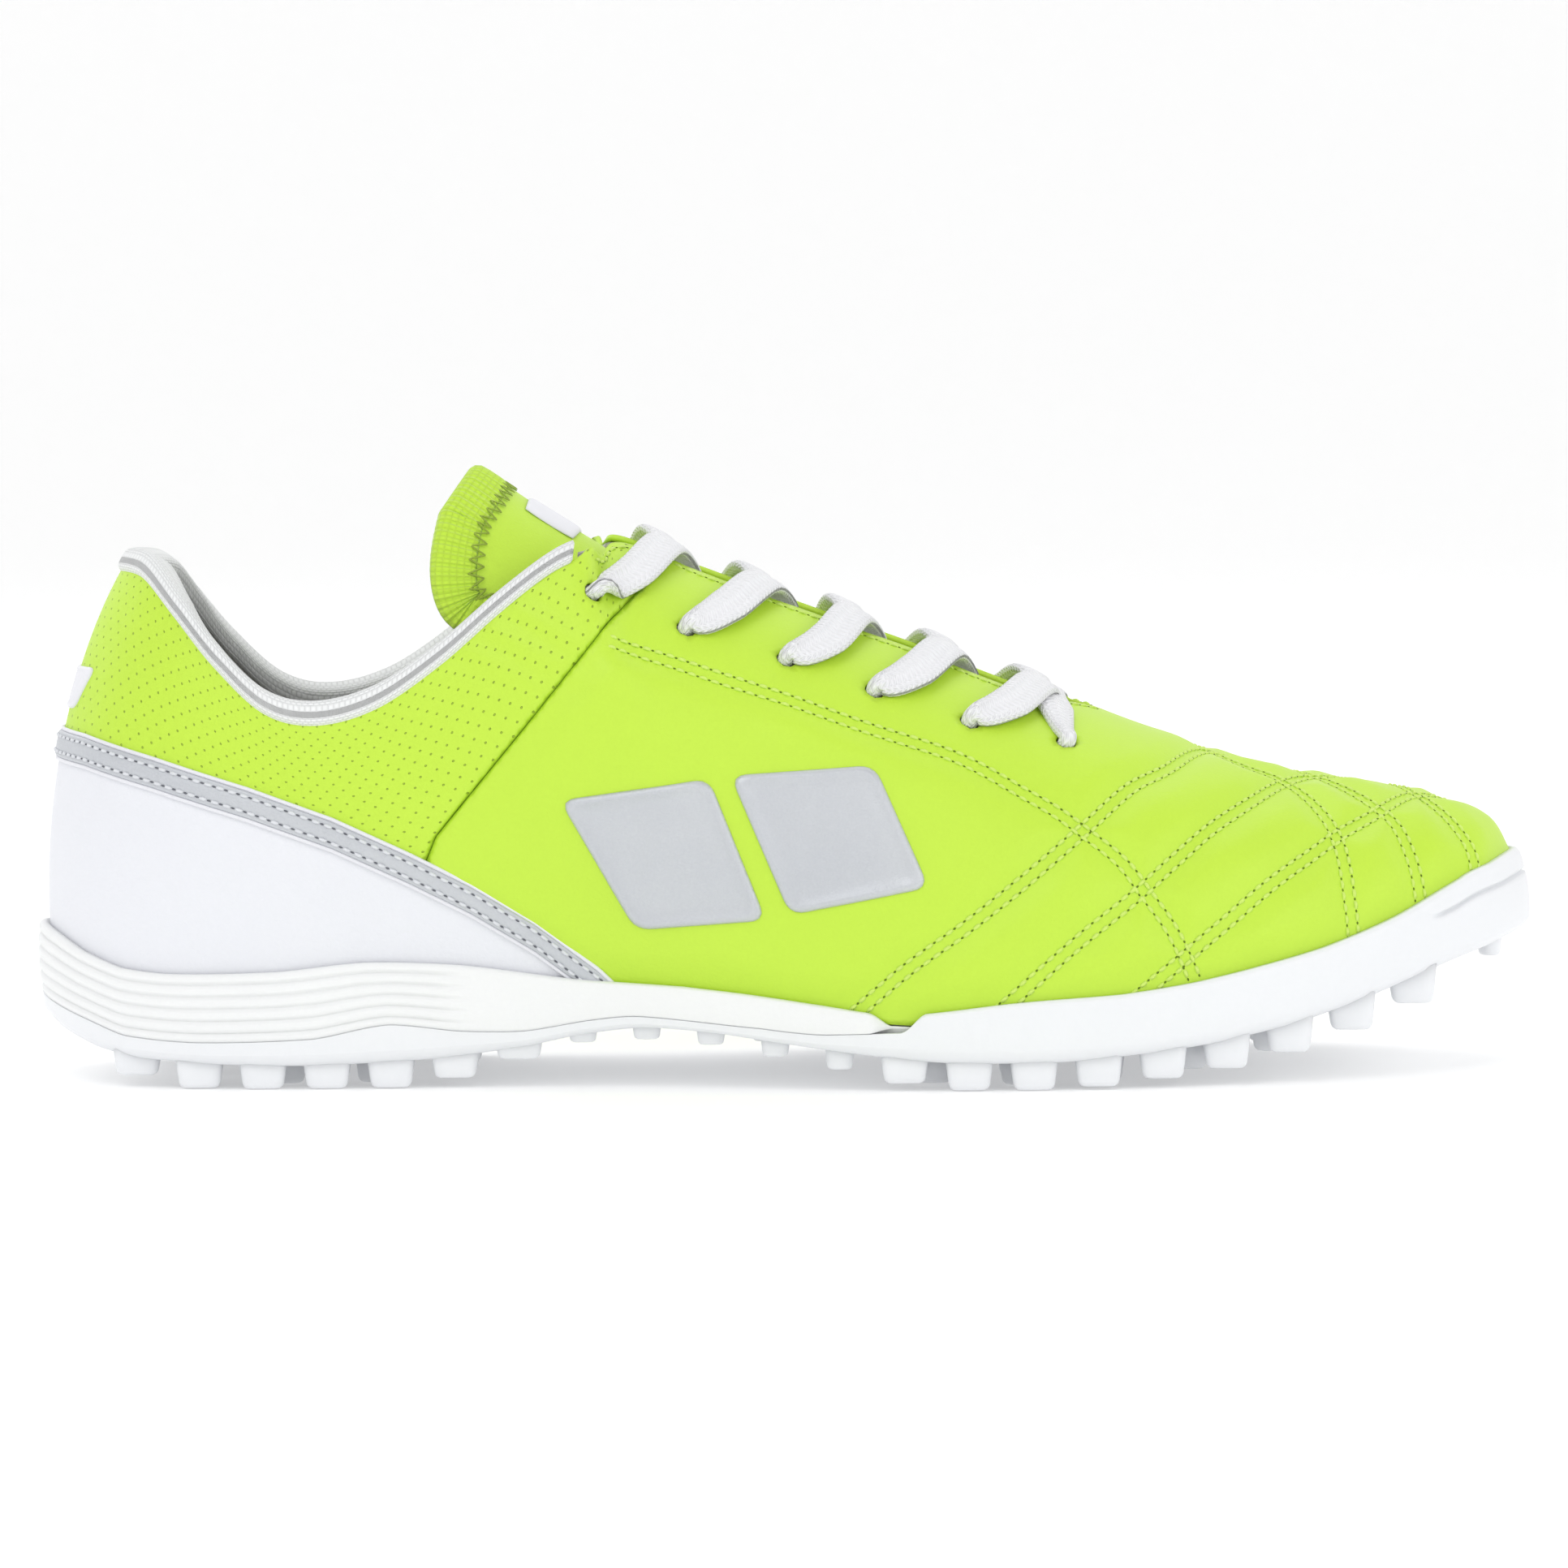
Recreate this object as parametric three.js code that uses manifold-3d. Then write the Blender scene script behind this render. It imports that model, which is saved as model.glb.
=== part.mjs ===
// Laced turf football shoe, right foot, EU 42. Millimetres, +X to the toe, -Y the outer (lateral) side, +Z up.
// The origin is on the ground under the middle of the shoe.
import * as THREE from "three";
import { mergeVertices } from "three/addons/utils/BufferGeometryUtils.js";
import Module from "manifold-3d";

const wasm = await Module();
wasm.setup();

// ---------------------------------------------------------------- driving dimensions
const LENGTH_SCALE = 1; // 1 = EU 42; stretches every station along X
const WIDTH_SCALE = 1; // stretches every station along Y
const GAP = 0.3; // clearance between pieces that touch
const SKIN = 1.3; // coated synthetic leather of the upper
const BACKING = 0.6; // reinforcement between skin and lining
const LINING = 0.7; // textile lining
const COLLAR_PAD = 2.6; // extra depth of the foam-filled collar
const TRIM = 0.6; // foil trim, badges
const BAND_WIDTH = 5.2; // heel trim band
const BINDING_OUT = 1.2; // how far the knitted binding stands proud of the skin
const BINDING_HEIGHT = 3.6;
const BOARD = 1.6; // insole board
const FOOTBED = 3.9; // removable sockliner
const SPLIT_X = 5; // where the sockliner bends when its heel is lifted
const EYELET_RADIUS = 2.7;
const LACE_WIDTH = 8;
const LACE_THICKNESS = 1;
const LACE_IN_EYELET = 2.6; // width of the lace bunched in an eyelet
const TONGUE_RADIUS = 24; // of its arch at the ankle
const THROAT_RADIUS = 20; // of its arch under the laces
const TONGUE_SKIN = 0.9;
const TONGUE_FOAM = 2.2;
const KNIT_WIDTH = 8.5; // elastic edge of the tongue
const HINGE_X = -34; // where the free end of the tongue bends
const RIM = 1.7; // thickness of the sole's rim beside the upper
const SOLE_FLARE = 2.6; // how far the sole's side stands outside the foot line
const CUP_FLOOR = 2.3; // rubber plate
const ARCH_FLOOR = 1.5;
const CUP_END = 21.5; // where the rubber side wall takes over from the foam midsole
const LUG_TAPER = 0.8;
const STEPS = 2; // mesh columns between two stations
const SKIN_ROWS = 6; // mesh rows up the side
const LINING_ROWS = 4;

// Stations round the shoe, heel back to toe tip. foot: where the upper meets the sole. top: collar line,
// then the instep and toe ridge. lean, belly: angle and length of the side at its foot. tuck, crown: the
// same at its top. fall: slope of the ridge. edge: share of the side that the throat leaves.
// footX, lateral, medial, topX, lateral, medial, topZ, lean, belly, tuck, crown, fall, edge
const STATIONS = [
  [-141.3, 0, 0, -126.4, 0, 0, 99, 8, 0.36, 32, 0.27, 0, 1],
  [-138, -14, 13, -121.4, -11.5, 11.5, 98, 8, 0.36, 30, 0.27, 0, 1],
  [-130, -24, 22.5, -115.5, -20.5, 20, 91, 8, 0.36, 26, 0.28, 0, 1],
  [-116, -31, 29, -108, -26.5, 26, 81.5, 7, 0.36, 22, 0.3, 0, 1],
  [-98, -34, 32, -98.8, -30, 30, 72.8, 6, 0.36, 18, 0.3, 0, 1],
  [-80, -34.3, 32, -89, -32, 31.5, 70.6, 5, 0.36, 18, 0.3, 0, 1],
  [-62, -34.5, 30, -77.5, -32.5, 32.5, 73.8, 5, 0.36, 20, 0.3, 0, 1],
  [-46, -35.5, 28.8, -65.5, -32.5, 32.5, 82, 5, 0.36, 22, 0.3, 0, 1],
  [-32, -37, 28.7, -54, -31.5, 31.5, 92, 5, 0.36, 26, 0.3, 0, 1],
  [-20, -39.5, 29.8, -44.2, -29.5, 29.5, 99.4, 4, 0.36, 32, 0.3, 0, 1],
  [-10, -41.8, 31.5, -37, -25.5, 25.5, 102.6, 3, 0.37, 42, 0.3, 0, 0.985],
  [0, -44, 34, -34.5, -13, 13, 104, 2, 0.38, 62, 0.3, 0.3, 0.905],
  [9, -45.8, 36.8, -32, 0, 0, 103.8, 1, 0.38, 90, 0.3, 0.37, 0.86],
  [20, -47.3, 40.8, -16, 0, 0, 97.8, 1, 0.38, 90, 0.3, 0.37, 0.85],
  [32, -48.2, 44.6, 4, 0, 0, 90.3, 1, 0.38, 90, 0.31, 0.38, 0.85],
  [44, -48.3, 46.9, 24, 0, 0, 82.5, 1, 0.39, 90, 0.33, 0.4, 0.855],
  [57, -47.6, 47.6, 44, 0, 0, 74, 1, 0.4, 90, 0.36, 0.43, 0.87],
  [70, -45.6, 47, 61, 1, 1, 66.6, 1, 0.4, 90, 0.4, 0.38, 1],
  [84, -41.8, 44.8, 77, 2, 2, 61, 2, 0.4, 90, 0.42, 0.31, 1],
  [99, -35.8, 41, 93, 3, 3, 56.4, 3, 0.4, 90, 0.43, 0.22, 1],
  [113, -28.3, 36.3, 107, 4, 4, 54, 4, 0.4, 90, 0.43, 0.15, 1],
  [125, -20.3, 30.8, 116, 5, 5, 52.6, 4, 0.4, 90, 0.42, 0.18, 1],
  [134.5, -11.5, 23, 116, 5, 5, 52.6, 4, 0.4, 90, 0.41, 0.18, 1],
  [140.5, 6, 6, 116, 5, 5, 52.6, 4, 0.4, 90, 0.41, 0.18, 1],
];
const LAST = STATIONS.length - 1; // station number of the toe tip
const AROUND = 2 * LAST; // stations in the whole ring, back to the heel
const CORNER = 10; // station of the throat's upper corner
const THROAT_END = 17; // station where the throat closes
const POLE = 21; // from here to the toe tip every side ends in one point of the ridge

// Heights along the shoe: [x, z]
const BED = [[-142, 17.8], [-110, 17.4], [-60, 17], [-30, 16], [0, 13.6], [25, 11.8], [50, 11.8], [75, 14],
  [98, 18.6], [112, 22.6], [124, 26.6], [134, 30], [146, 33]];
const RIM_TOP = [[-144, 30.5], [-138, 28.2], [-133, 25.3], [-126, 22.6], [-117, 21.7], [-97, 22.2], [-80, 23.9],
  [-62, 23.3], [-40, 20.6], [-20, 19.3], [-8, 18], [4, 16.3], [20, 14.2], [43, 16.5], [62, 17.8], [75, 19.6],
  [87, 22.1], [100, 25.3], [113, 30], [127, 36.5], [134, 39], [139, 40.4], [146, 41]];
const PARTING = [[-144, 17], [-140, 15.4], [-132, 12.5], [-125, 9.8], [-112, 8.8], [-90, 9.5], [-76, 12.1],
  [-62, 10.8], [-50, 10.8], [-37, 12.9], [-28, 13.6], [-5, 11.6], [5, 10.6], [12, 10.7], [18, 10.9], [21.5, 11]];
const PLATE = [[-144, 13], [-138, 9.5], [-132, 7], [-124, 5.4], [-108, 4.4], [-90, 4.2], [-66, 5.4], [-50, 7.6],
  [-40, 9.8], [-28, 11.2], [-15, 10.4], [-5, 9], [5, 7.6], [18, 6], [30, 5], [50, 5], [65, 6.2], [80, 8],
  [96, 11.2], [110, 15.4], [123, 20], [134, 23.5], [146, 26.5]];
const LUG_TIP = [[-134, 4.6], [-123, 1.8], [-113, 0], [-75, 0], [-68, 0.8], [-59, 2.9], [-47, 6.6], [-35, 9],
  [-22, 8.7], [-10, 7.5], [0, 5.4], [12, 3.2], [24, 0.8], [32, 0], [52, 0], [65, 1.2], [81, 3], [96, 6.1],
  [110, 10.5], [123, 15.2], [134, 19.5], [142, 22]];

// Lines on the side of the upper: [x, z]
const BAND_LINE = [[-150, 64.4], [-141, 63.9], [-133.5, 62.9], [-120, 59.3], [-102, 53.7], [-86, 48], [-72, 41.6],
  [-60, 35.6], [-48, 28.4], [-36, 19.4], [-28, 12]];
const SEAM_LINE = [[-69.4, 40.2], [-66.5, 47.5], [-49.7, 67.9], [-41.3, 78.3], [-35.3, 85.6], [-27, 94.5], [-16, 106]];
const EYELETS = [[-36.3, 93.2], [-19, 86.1], [-0.2, 80.1], [16.4, 74], [34.3, 68], [52.3, 63.2]];
const REAR_BADGE = [[-43, 54.5], [-15, 58.5], [-4.5, 32], [-29, 30]];
const FRONT_BADGE = [[-11, 59], [16, 60.5], [26, 38], [0, 33]];
const BADGE_ROUND = 3;
const HEEL_BADGE = [[-11, 78.5], [11, 78.5], [7.5, 70.5], [-7.5, 70.5]]; // [y, z]

// Centre line of the tongue's face: [x, z], toe end first
const TONGUE_LINE = [[68, 55], [56, 60], [44, 66.8], [30, 73.8], [10, 81.7], [-10, 89.2], [-28, 96.2], [-41, 104.2],
  [-52, 111.2], [-60, 116.6]];

// ---------------------------------------------------------------- small maths
const lerp = (a, b, t) => a + (b - a) * t;
const clamp01 = (t) => Math.min(1, Math.max(0, t));
const smooth = (a, b, x) => THREE.MathUtils.smoothstep(x, a, b);
const radians = THREE.MathUtils.degToRad;

/** Catmull-Rom value between b and c. */
function cubicThrough(a, b, c, d, t) {
  return b + 0.5 * t * (c - a + t * (2 * a - 5 * b + 4 * c - d + t * (3 * (b - c) + d - a)));
}

/** Height of a profile at x, by straight lines between its points. */
function heightAt(profile, x) {
  const at = x / LENGTH_SCALE;
  if (at <= profile[0][0]) return profile[0][1];
  const i = profile.findIndex((p) => p[0] > at);
  if (i < 0) return profile[profile.length - 1][1];
  const [x0, z0] = profile[i - 1];
  const [x1, z1] = profile[i];
  const t = (at - x0) / (x1 - x0);
  const before = profile[Math.max(i - 2, 0)][1];
  const after = profile[Math.min(i + 1, profile.length - 1)][1];
  return lerp(lerp(z0, z1, t), cubicThrough(before, z0, z1, after, t), 0.7);
}

const scaled = (line) => line.map(([x, z]) => [x * LENGTH_SCALE, z]);

// ---------------------------------------------------------------- the side surface
/** Station k of the ring as one list with a single y for foot and top. */
function ringStation(k) {
  const i = ((k % AROUND) + AROUND) % AROUND;
  const side = i <= LAST ? 1 : 2;
  const s = STATIONS[i <= LAST ? i : AROUND - i];
  return [
    s[0] * LENGTH_SCALE, s[side] * WIDTH_SCALE, s[3] * LENGTH_SCALE, s[3 + side] * WIDTH_SCALE, ...s.slice(6),
  ];
}

function ringValues(u) {
  const k = Math.floor(u);
  const t = u - k;
  const [a, b, c, d] = [k - 1, k, k + 1, k + 2].map(ringStation);
  return b.map((_, i) => cubicThrough(a[i], b[i], c[i], d[i], t));
}

const onRidge = (u) => u > THROAT_END - 1e-6 && u < AROUND - THROAT_END + 1e-6;
const onPole = (u) => u >= POLE - 1e-6 && u <= AROUND - POLE + 1e-6;

/** Foot point, top point and the two handles of the side curve at u. */
function sideCurve(u) {
  const folded = Math.min(u, AROUND - u);
  const v = ringValues(u);
  const e = 0.05;
  const before = ringValues(u - e);
  const after = ringValues(u + e);
  const along = new THREE.Vector2(after[0] - before[0], after[1] - before[1]).normalize();
  const out = new THREE.Vector3(along.y, -along.x, 0);
  const foot = new THREE.Vector3(v[0], v[1], heightAt(BED, v[0]) + GAP);
  let top = new THREE.Vector3(v[2], v[3], v[4]);
  const ridge = onRidge(folded) ? ringValues(onPole(folded) ? POLE : folded) : null;
  if (ridge) top = new THREE.Vector3(ridge[2], ridge[3], ridge[4]);
  const [lean, belly, tuck, crown] = v.slice(5);
  const fall = (ridge || v)[9];
  const reach = foot.distanceTo(top);
  const up = new THREE.Vector3(out.x * Math.sin(radians(lean)), out.y * Math.sin(radians(lean)), Math.cos(radians(lean)));
  const sin = Math.sin(radians(tuck));
  const down = new THREE.Vector3(out.x * sin, out.y * sin, -Math.cos(radians(tuck)) - fall * out.x * sin).normalize();
  return {
    out,
    fall,
    edge: onRidge(folded) ? 1 : Math.min(1, v[10]),
    points: [foot, foot.clone().addScaledVector(up, belly * reach), top.clone().addScaledVector(down, crown * reach), top],
  };
}

const cache = new Map();
function side(u) {
  const key = Math.round(((u % AROUND) + AROUND) % AROUND * 1e5) / 1e5;
  if (!cache.has(key)) cache.set(key, sideCurve(key));
  return cache.get(key);
}

function bare(u, v) {
  const [a, b, c, d] = side(u).points;
  const w = 1 - v;
  return new THREE.Vector3()
    .addScaledVector(a, w * w * w)
    .addScaledVector(b, 3 * w * w * v)
    .addScaledVector(c, 3 * w * v * v)
    .addScaledVector(d, v * v * v);
}

function normalAt(u, v) {
  if (v > 0.9999 && onRidge(Math.min(u, AROUND - u))) return new THREE.Vector3(side(u).fall, 0, 1).normalize();
  const at = Math.min(v, 0.975);
  const e = 0.02;
  const du = bare(u + e, at).sub(bare(u - e, at));
  const dv = bare(u, Math.min(at + e, 0.995)).sub(bare(u, Math.max(at - e, 0)));
  return du.cross(dv).normalize();
}

/** Point of the side surface at ring position u and share v of its height, moved out by d. */
function surface(u, v, d = 0) {
  if (v > 0.9999 && onRidge(Math.min(u, AROUND - u))) {
    const folded = Math.min(u, AROUND - u);
    return side(folded).points[3].clone().addScaledVector(normalAt(folded, 1), d);
  }
  return bare(u, v).addScaledVector(normalAt(u, v), d);
}

/** Point of the side at height z, moved straight out by d. */
function wallPoint(u, z, d) {
  let low = 0;
  let high = 0.7;
  for (let i = 0; i < 30; i++) {
    const mid = (low + high) / 2;
    if (bare(u, mid).z < z) low = mid;
    else high = mid;
  }
  return bare(u, (low + high) / 2).addScaledVector(side(u).out, d);
}

function footPoint(u, d, z) {
  const { out, points } = side(u);
  const p = points[0].clone().addScaledVector(out, d);
  p.z = z;
  return p;
}

/** Ring position and height share of the side point nearest to [x, z], on one side. */
function locate([x, z], medial) {
  let best = { far: Infinity };
  const search = (u0, u1, v0, v1, n) => {
    for (let i = 0; i <= n; i++)
      for (let j = 0; j <= n; j++) {
        const u = lerp(u0, u1, i / n);
        const v = lerp(v0, v1, j / n);
        const p = bare(medial ? AROUND - u : u, v);
        const far = (p.x - x) ** 2 + (p.z - z) ** 2;
        if (far < best.far) best = { far, u, v };
      }
  };
  search(0, LAST, 0, 1, 40);
  for (let span = 0.6, rise = 0.03; span > 1e-4; span /= 4, rise /= 4)
    search(best.u - span, best.u + span, Math.max(0, best.v - rise), Math.min(1, best.v + rise), 8);
  return { u: medial ? AROUND - best.u : best.u, v: best.v };
}

// ---------------------------------------------------------------- solids
/** Closed geometry from points and triangles, with shared corners joined and flat triangles dropped. */
function closedGeometry(points, triangles) {
  const keys = new Map();
  const where = points.map((p) => {
    const key = [p.x, p.y, p.z].map((c) => Math.round(c * 2e3)).join();
    if (!keys.has(key)) keys.set(key, keys.size);
    return keys.get(key);
  });
  const position = new Float32Array(keys.size * 3);
  points.forEach((p, i) => p.toArray(position, where[i] * 3));
  const index = triangles
    .map((t) => t.map((i) => where[i]))
    .filter(([a, b, c]) => a !== b && b !== c && c !== a)
    .flat();
  return new THREE.BufferGeometry().setAttribute("position", new THREE.BufferAttribute(position, 3)).setIndex(index);
}

function toSolid(geometry) {
  let g = geometry;
  if (g.attributes.normal || g.attributes.uv) {
    g = geometry.clone();
    g.deleteAttribute("normal");
    g.deleteAttribute("uv");
    g = mergeVertices(g, 1e-4);
  }
  const made = new wasm.Manifold(
    new wasm.Mesh({ numProp: 3, vertProperties: g.attributes.position.array, triVerts: new Uint32Array(g.index.array) }),
  );
  if (made.volume() < 0) throw new Error("a solid is inside out");
  return made;
}

function toGeometry(solid) {
  const m = solid.getMesh();
  const g = new THREE.BufferGeometry();
  g.setAttribute("position", new THREE.BufferAttribute(new Float32Array(m.vertProperties), 3));
  return g.setIndex(new THREE.BufferAttribute(new Uint32Array(m.triVerts), 1));
}

const largest = (solid) => solid.decompose().sort((a, b) => b.volume() - a.volume())[0];

/** Two facing grids of points joined round their borders. outer[i][j] looks out when i runs ahead and j up. */
function slab(outer, inner, { ring = false, openTop = () => false } = {}) {
  const columns = outer.length;
  const rows = outer[0].length;
  const points = [...outer.flat(), ...inner.flat()];
  const o = (i, j) => (i % columns) * rows + j;
  const n = (i, j) => columns * rows + o(i, j);
  const triangles = [];
  const quad = (a, b, c, d) => triangles.push([a, b, c], [a, c, d]);
  const last = ring ? columns : columns - 1;
  for (let i = 0; i < last; i++) {
    for (let j = 0; j < rows - 1; j++) {
      quad(o(i, j), o(i + 1, j), o(i + 1, j + 1), o(i, j + 1));
      quad(n(i, j), n(i, j + 1), n(i + 1, j + 1), n(i + 1, j));
    }
    quad(o(i, 0), n(i, 0), n(i + 1, 0), o(i + 1, 0));
    if (!openTop(i)) quad(o(i, rows - 1), o(i + 1, rows - 1), n(i + 1, rows - 1), n(i, rows - 1));
  }
  if (!ring)
    for (let j = 0; j < rows - 1; j++) {
      quad(o(0, j), o(0, j + 1), n(0, j + 1), n(0, j));
      quad(o(last, j), n(last, j), n(last, j + 1), o(last, j + 1));
    }
  return closedGeometry(points, triangles);
}

/**
 * A layer of the upper between two depths, from ring position u0 to u1 and from share w0 to w1 of the
 * height up to the collar or the throat's edge. A full ring runs from 0 to AROUND.
 */
function layer({ u0 = 0, u1 = AROUND, w0 = 0, w1 = 1, rows = 8, outer, inner }) {
  const ring = u1 - u0 === AROUND;
  const count = Math.round((u1 - u0) * STEPS);
  const at = (i) => u0 + i / STEPS;
  const column = (i, depth) =>
    Array.from({ length: rows + 1 }, (_, j) => {
      const u = at(i);
      const v = lerp(w0, w1, j / rows) * side(u).edge;
      return surface(u, v, typeof depth === "function" ? depth(u, v) : depth);
    });
  const indices = Array.from({ length: ring ? count : count + 1 }, (_, i) => i);
  const closesOver = (i) => w1 === 1 && onRidge(Math.min(at(i), AROUND - at(i))) && onRidge(Math.min(at(i + 1), AROUND - at(i + 1)));
  return toSolid(slab(indices.map((i) => column(i, outer)), indices.map((i) => column(i, inner)), { ring, openTop: closesOver }));
}

/** Prism of an [x, z] outline between y0 and y1. */
function prism(outline, y0, y1) {
  const shape = new THREE.Shape(outline.map(([x, z]) => new THREE.Vector2(x, z)));
  const g = new THREE.ExtrudeGeometry(shape, { depth: y1 - y0, bevelEnabled: false });
  return toSolid(g.rotateX(Math.PI / 2).translate(0, y1, 0));
}

const WIDE = 90;
const both = (outline) => prism(outline, -WIDE, WIDE);

/** The outline with its corners rounded. */
function rounded(outline, radius) {
  const n = outline.length;
  return outline.flatMap(([x, z], i) => {
    const [px, pz] = outline[(i + n - 1) % n];
    const [nx, nz] = outline[(i + 1) % n];
    const start = radius / Math.hypot(px - x, pz - z);
    const end = radius / Math.hypot(nx - x, nz - z);
    return [0, 0.5, 1].map((t) => {
      const a = [lerp(x, px, start), lerp(z, pz, start)];
      const b = [lerp(x, nx, end), lerp(z, nz, end)];
      return [0, 1].map((k) => lerp(lerp(a[k], [x, z][k], t), lerp([x, z][k], b[k], t), t));
    });
  });
}

// ---------------------------------------------------------------- zones of the upper
const FAR = 200;
const bandLine = (shift) => scaled(BAND_LINE).map(([x, z]) => [x, z + shift]);
const seamLine = (shift) => scaled(SEAM_LINE).map(([x, z]) => [x + shift, z]);

/** Behind the ankle seam and above the heel trim. */
function ankleZone(seamShift, bandShift) {
  const seam = seamLine(seamShift);
  const band = bandLine(bandShift).filter(([x]) => x < seam[0][0] - 1);
  return [[-FAR, band[0][1]], ...band, ...seam, [seam[seam.length - 1][0], FAR], [-FAR, FAR]];
}

/** Under the heel trim. */
function heelZone(shift) {
  const band = bandLine(shift);
  return [[-FAR, -20], [band[band.length - 1][0], -20], ...band.reverse(), [-FAR, band[band.length - 1][1]]];
}

const bandZone = () => [...bandLine(-BAND_WIDTH / 2), ...bandLine(BAND_WIDTH / 2).reverse()];
const soleZone = () => [[-FAR, -20], ...scaled(RIM_TOP).map(([x, z]) => [x, z + 2 * GAP]), [FAR, -20]];

/** Straight pin through the upper at an eyelet. */
function eyeletPin(place, medial) {
  const { u, v } = locate(place, medial);
  const n = normalAt(u, v);
  const g = new THREE.CylinderGeometry(EYELET_RADIUS, EYELET_RADIUS, 14, 8);
  g.applyQuaternion(new THREE.Quaternion().setFromUnitVectors(new THREE.Vector3(0, 1, 0), n));
  const p = surface(u, v, -1.5);
  return toSolid(g.translate(p.x, p.y, p.z));
}

const eyeletPins = () =>
  wasm.Manifold.union([false, true].flatMap((medial) => scaled(EYELETS).map((p) => eyeletPin(p, medial))));

// ---------------------------------------------------------------- upper
const BACKING_OUT = -SKIN - GAP;
const BACKING_IN = BACKING_OUT - BACKING;
const LINING_OUT = BACKING_IN - GAP;

/** How deep the collar's padding pushes the lining in. */
const padding = (u, v) => {
  const folded = Math.min(u, AROUND - u);
  return COLLAR_PAD * smooth(0.5, 0.68, v) * (1 - 0.45 * smooth(0.88, 1, v)) * (1 - smooth(CORNER - 2.5, CORNER - 0.5, folded));
};
const liningOut = (u, v) => LINING_OUT - padding(u, v);
const liningIn = (u, v) => liningOut(u, v) - LINING;
const COLLAR_TOP = 0.965; // share of the height where the layers end under the binding

/** Everything above the collar's cut line, which the binding takes. */
function collarCap() {
  const outer = [];
  const inner = [];
  const first = AROUND - (CORNER - 0.5);
  const count = 2 * (CORNER - 0.5) * STEPS;
  for (let i = 0; i <= count; i++) {
    const past = i === 0 ? -0.15 : i === count ? 0.15 : 0; // room beyond the ends of the binding
    const u = (first + i / STEPS + past) % AROUND;
    outer.push([surface(u, COLLAR_TOP, 3), surface(u, 1, 3).add(new THREE.Vector3(0, 0, 6))]);
    inner.push([surface(u, COLLAR_TOP, -12), surface(u, 1, -12).add(new THREE.Vector3(0, 0, 6))]);
  }
  return toSolid(slab(outer, inner));
}

function upperSkins(pins, cap) {
  const skin = layer({ rows: SKIN_ROWS, outer: 0, inner: -SKIN }).subtract(pins).subtract(cap);
  const half = GAP / 2;
  const heelSeam = toSolid(new THREE.BoxGeometry(60, GAP, 120).translate(-140 * LENGTH_SCALE, 0, 110));
  const ankle = skin.intersect(both(ankleZone(-half, half))).subtract(heelSeam);
  const parts = ankle.decompose().sort((a, b) => b.volume() - a.volume());
  const lateralFirst = parts[0].boundingBox().min[1] < -5;
  const vamp = skin.subtract(both(ankleZone(half, -half))).subtract(both(heelZone(half)));
  return {
    vamp: largest(vamp),
    ankle_quarter_lateral: parts[lateralFirst ? 0 : 1],
    ankle_quarter_medial: parts[lateralFirst ? 1 : 0],
    heel_overlay: largest(skin.intersect(both(heelZone(-half)))),
  };
}

function linings(pins, cap) {
  const whole = layer({ rows: LINING_ROWS, outer: liningOut, inner: liningIn }).subtract(pins).subtract(cap);
  const rear = (shift) => [...seamLine(shift), [seamLine(shift)[6][0], FAR], [-FAR, FAR], [-FAR, -20], [-40 + shift, -20]];
  return {
    collar_lining: largest(whole.intersect(both(rear(-GAP / 2)))),
    vamp_lining: largest(whole.subtract(both(rear(GAP / 2)))),
  };
}

function collarFoam(cap) {
  const rear = CORNER - 3;
  return layer({
    u0: AROUND - rear, u1: AROUND + rear, w0: 0.5, w1: 1, rows: LINING_ROWS / 2,
    outer: -SKIN - GAP, inner: (u, v) => liningOut(u, v) + GAP,
  }).subtract(cap);
}

function heelStiffener() {
  const reach = 5;
  return layer({ u0: AROUND - reach, u1: AROUND + reach, w0: 0.02, w1: 0.5, rows: 4, outer: BACKING_OUT, inner: BACKING_IN });
}

const toePuff = () => layer({ u0: 19.5, u1: AROUND - 19.5, w0: 0.03, w1: 1, rows: 6, outer: BACKING_OUT, inner: BACKING_IN });

function eyestayBacking(medial, pins) {
  const range = medial ? { u0: AROUND - 16.5, u1: AROUND - 11 } : { u0: 11, u1: 16.5 };
  const depths = { outer: BACKING_OUT - BACKING / 2, inner: BACKING_IN }; // half as thick as the other backings
  return largest(layer({ ...range, w0: 0.75, w1: 1, rows: 1, ...depths }).subtract(pins));
}

/** Knitted tape folded over the collar's edge. */
function collarBinding() {
  const end = CORNER - 0.5;
  const frames = [];
  for (let i = 0; i <= 2 * end * STEPS; i++) {
    const u = (AROUND - end + i / STEPS) % AROUND;
    const depth = -liningIn(u, 1);
    const cut = COLLAR_TOP + 0.006;
    const up = surface(u, 1).sub(surface(u, COLLAR_TOP)).normalize();
    const at = (d, rise) => surface(u, cut, d).addScaledVector(up, 2 * GAP + rise);
    frames.push([
      at(BINDING_OUT - 0.4, 0), at(BINDING_OUT, BINDING_HEIGHT * 0.5), at(0, BINDING_HEIGHT), at(-depth, BINDING_HEIGHT),
      at(-depth - 0.9, BINDING_HEIGHT * 0.5), at(-depth - 0.4, 0),
    ]);
  }
  return closedTube(frames);
}

/** Solid through a row of sections, each a closed loop of points. */
function closedTube(sections) {
  const n = sections[0].length;
  const points = sections.flat();
  const triangles = [];
  for (let i = 0; i < sections.length - 1; i++)
    for (let j = 0; j < n; j++) {
      const [a, b] = [i * n + j, i * n + ((j + 1) % n)];
      triangles.push([a, b, b + n], [a, b + n, a + n]);
    }
  const end = (sections.length - 1) * n;
  for (let j = 1; j < n - 1; j++) triangles.push([0, j + 1, j], [end, end + j, end + j + 1]);
  const g = closedGeometry(points, triangles);
  try {
    return toSolid(g);
  } catch {
    return toSolid(closedGeometry(points, triangles.map(([a, b, c]) => [a, c, b])));
  }
}

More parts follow.
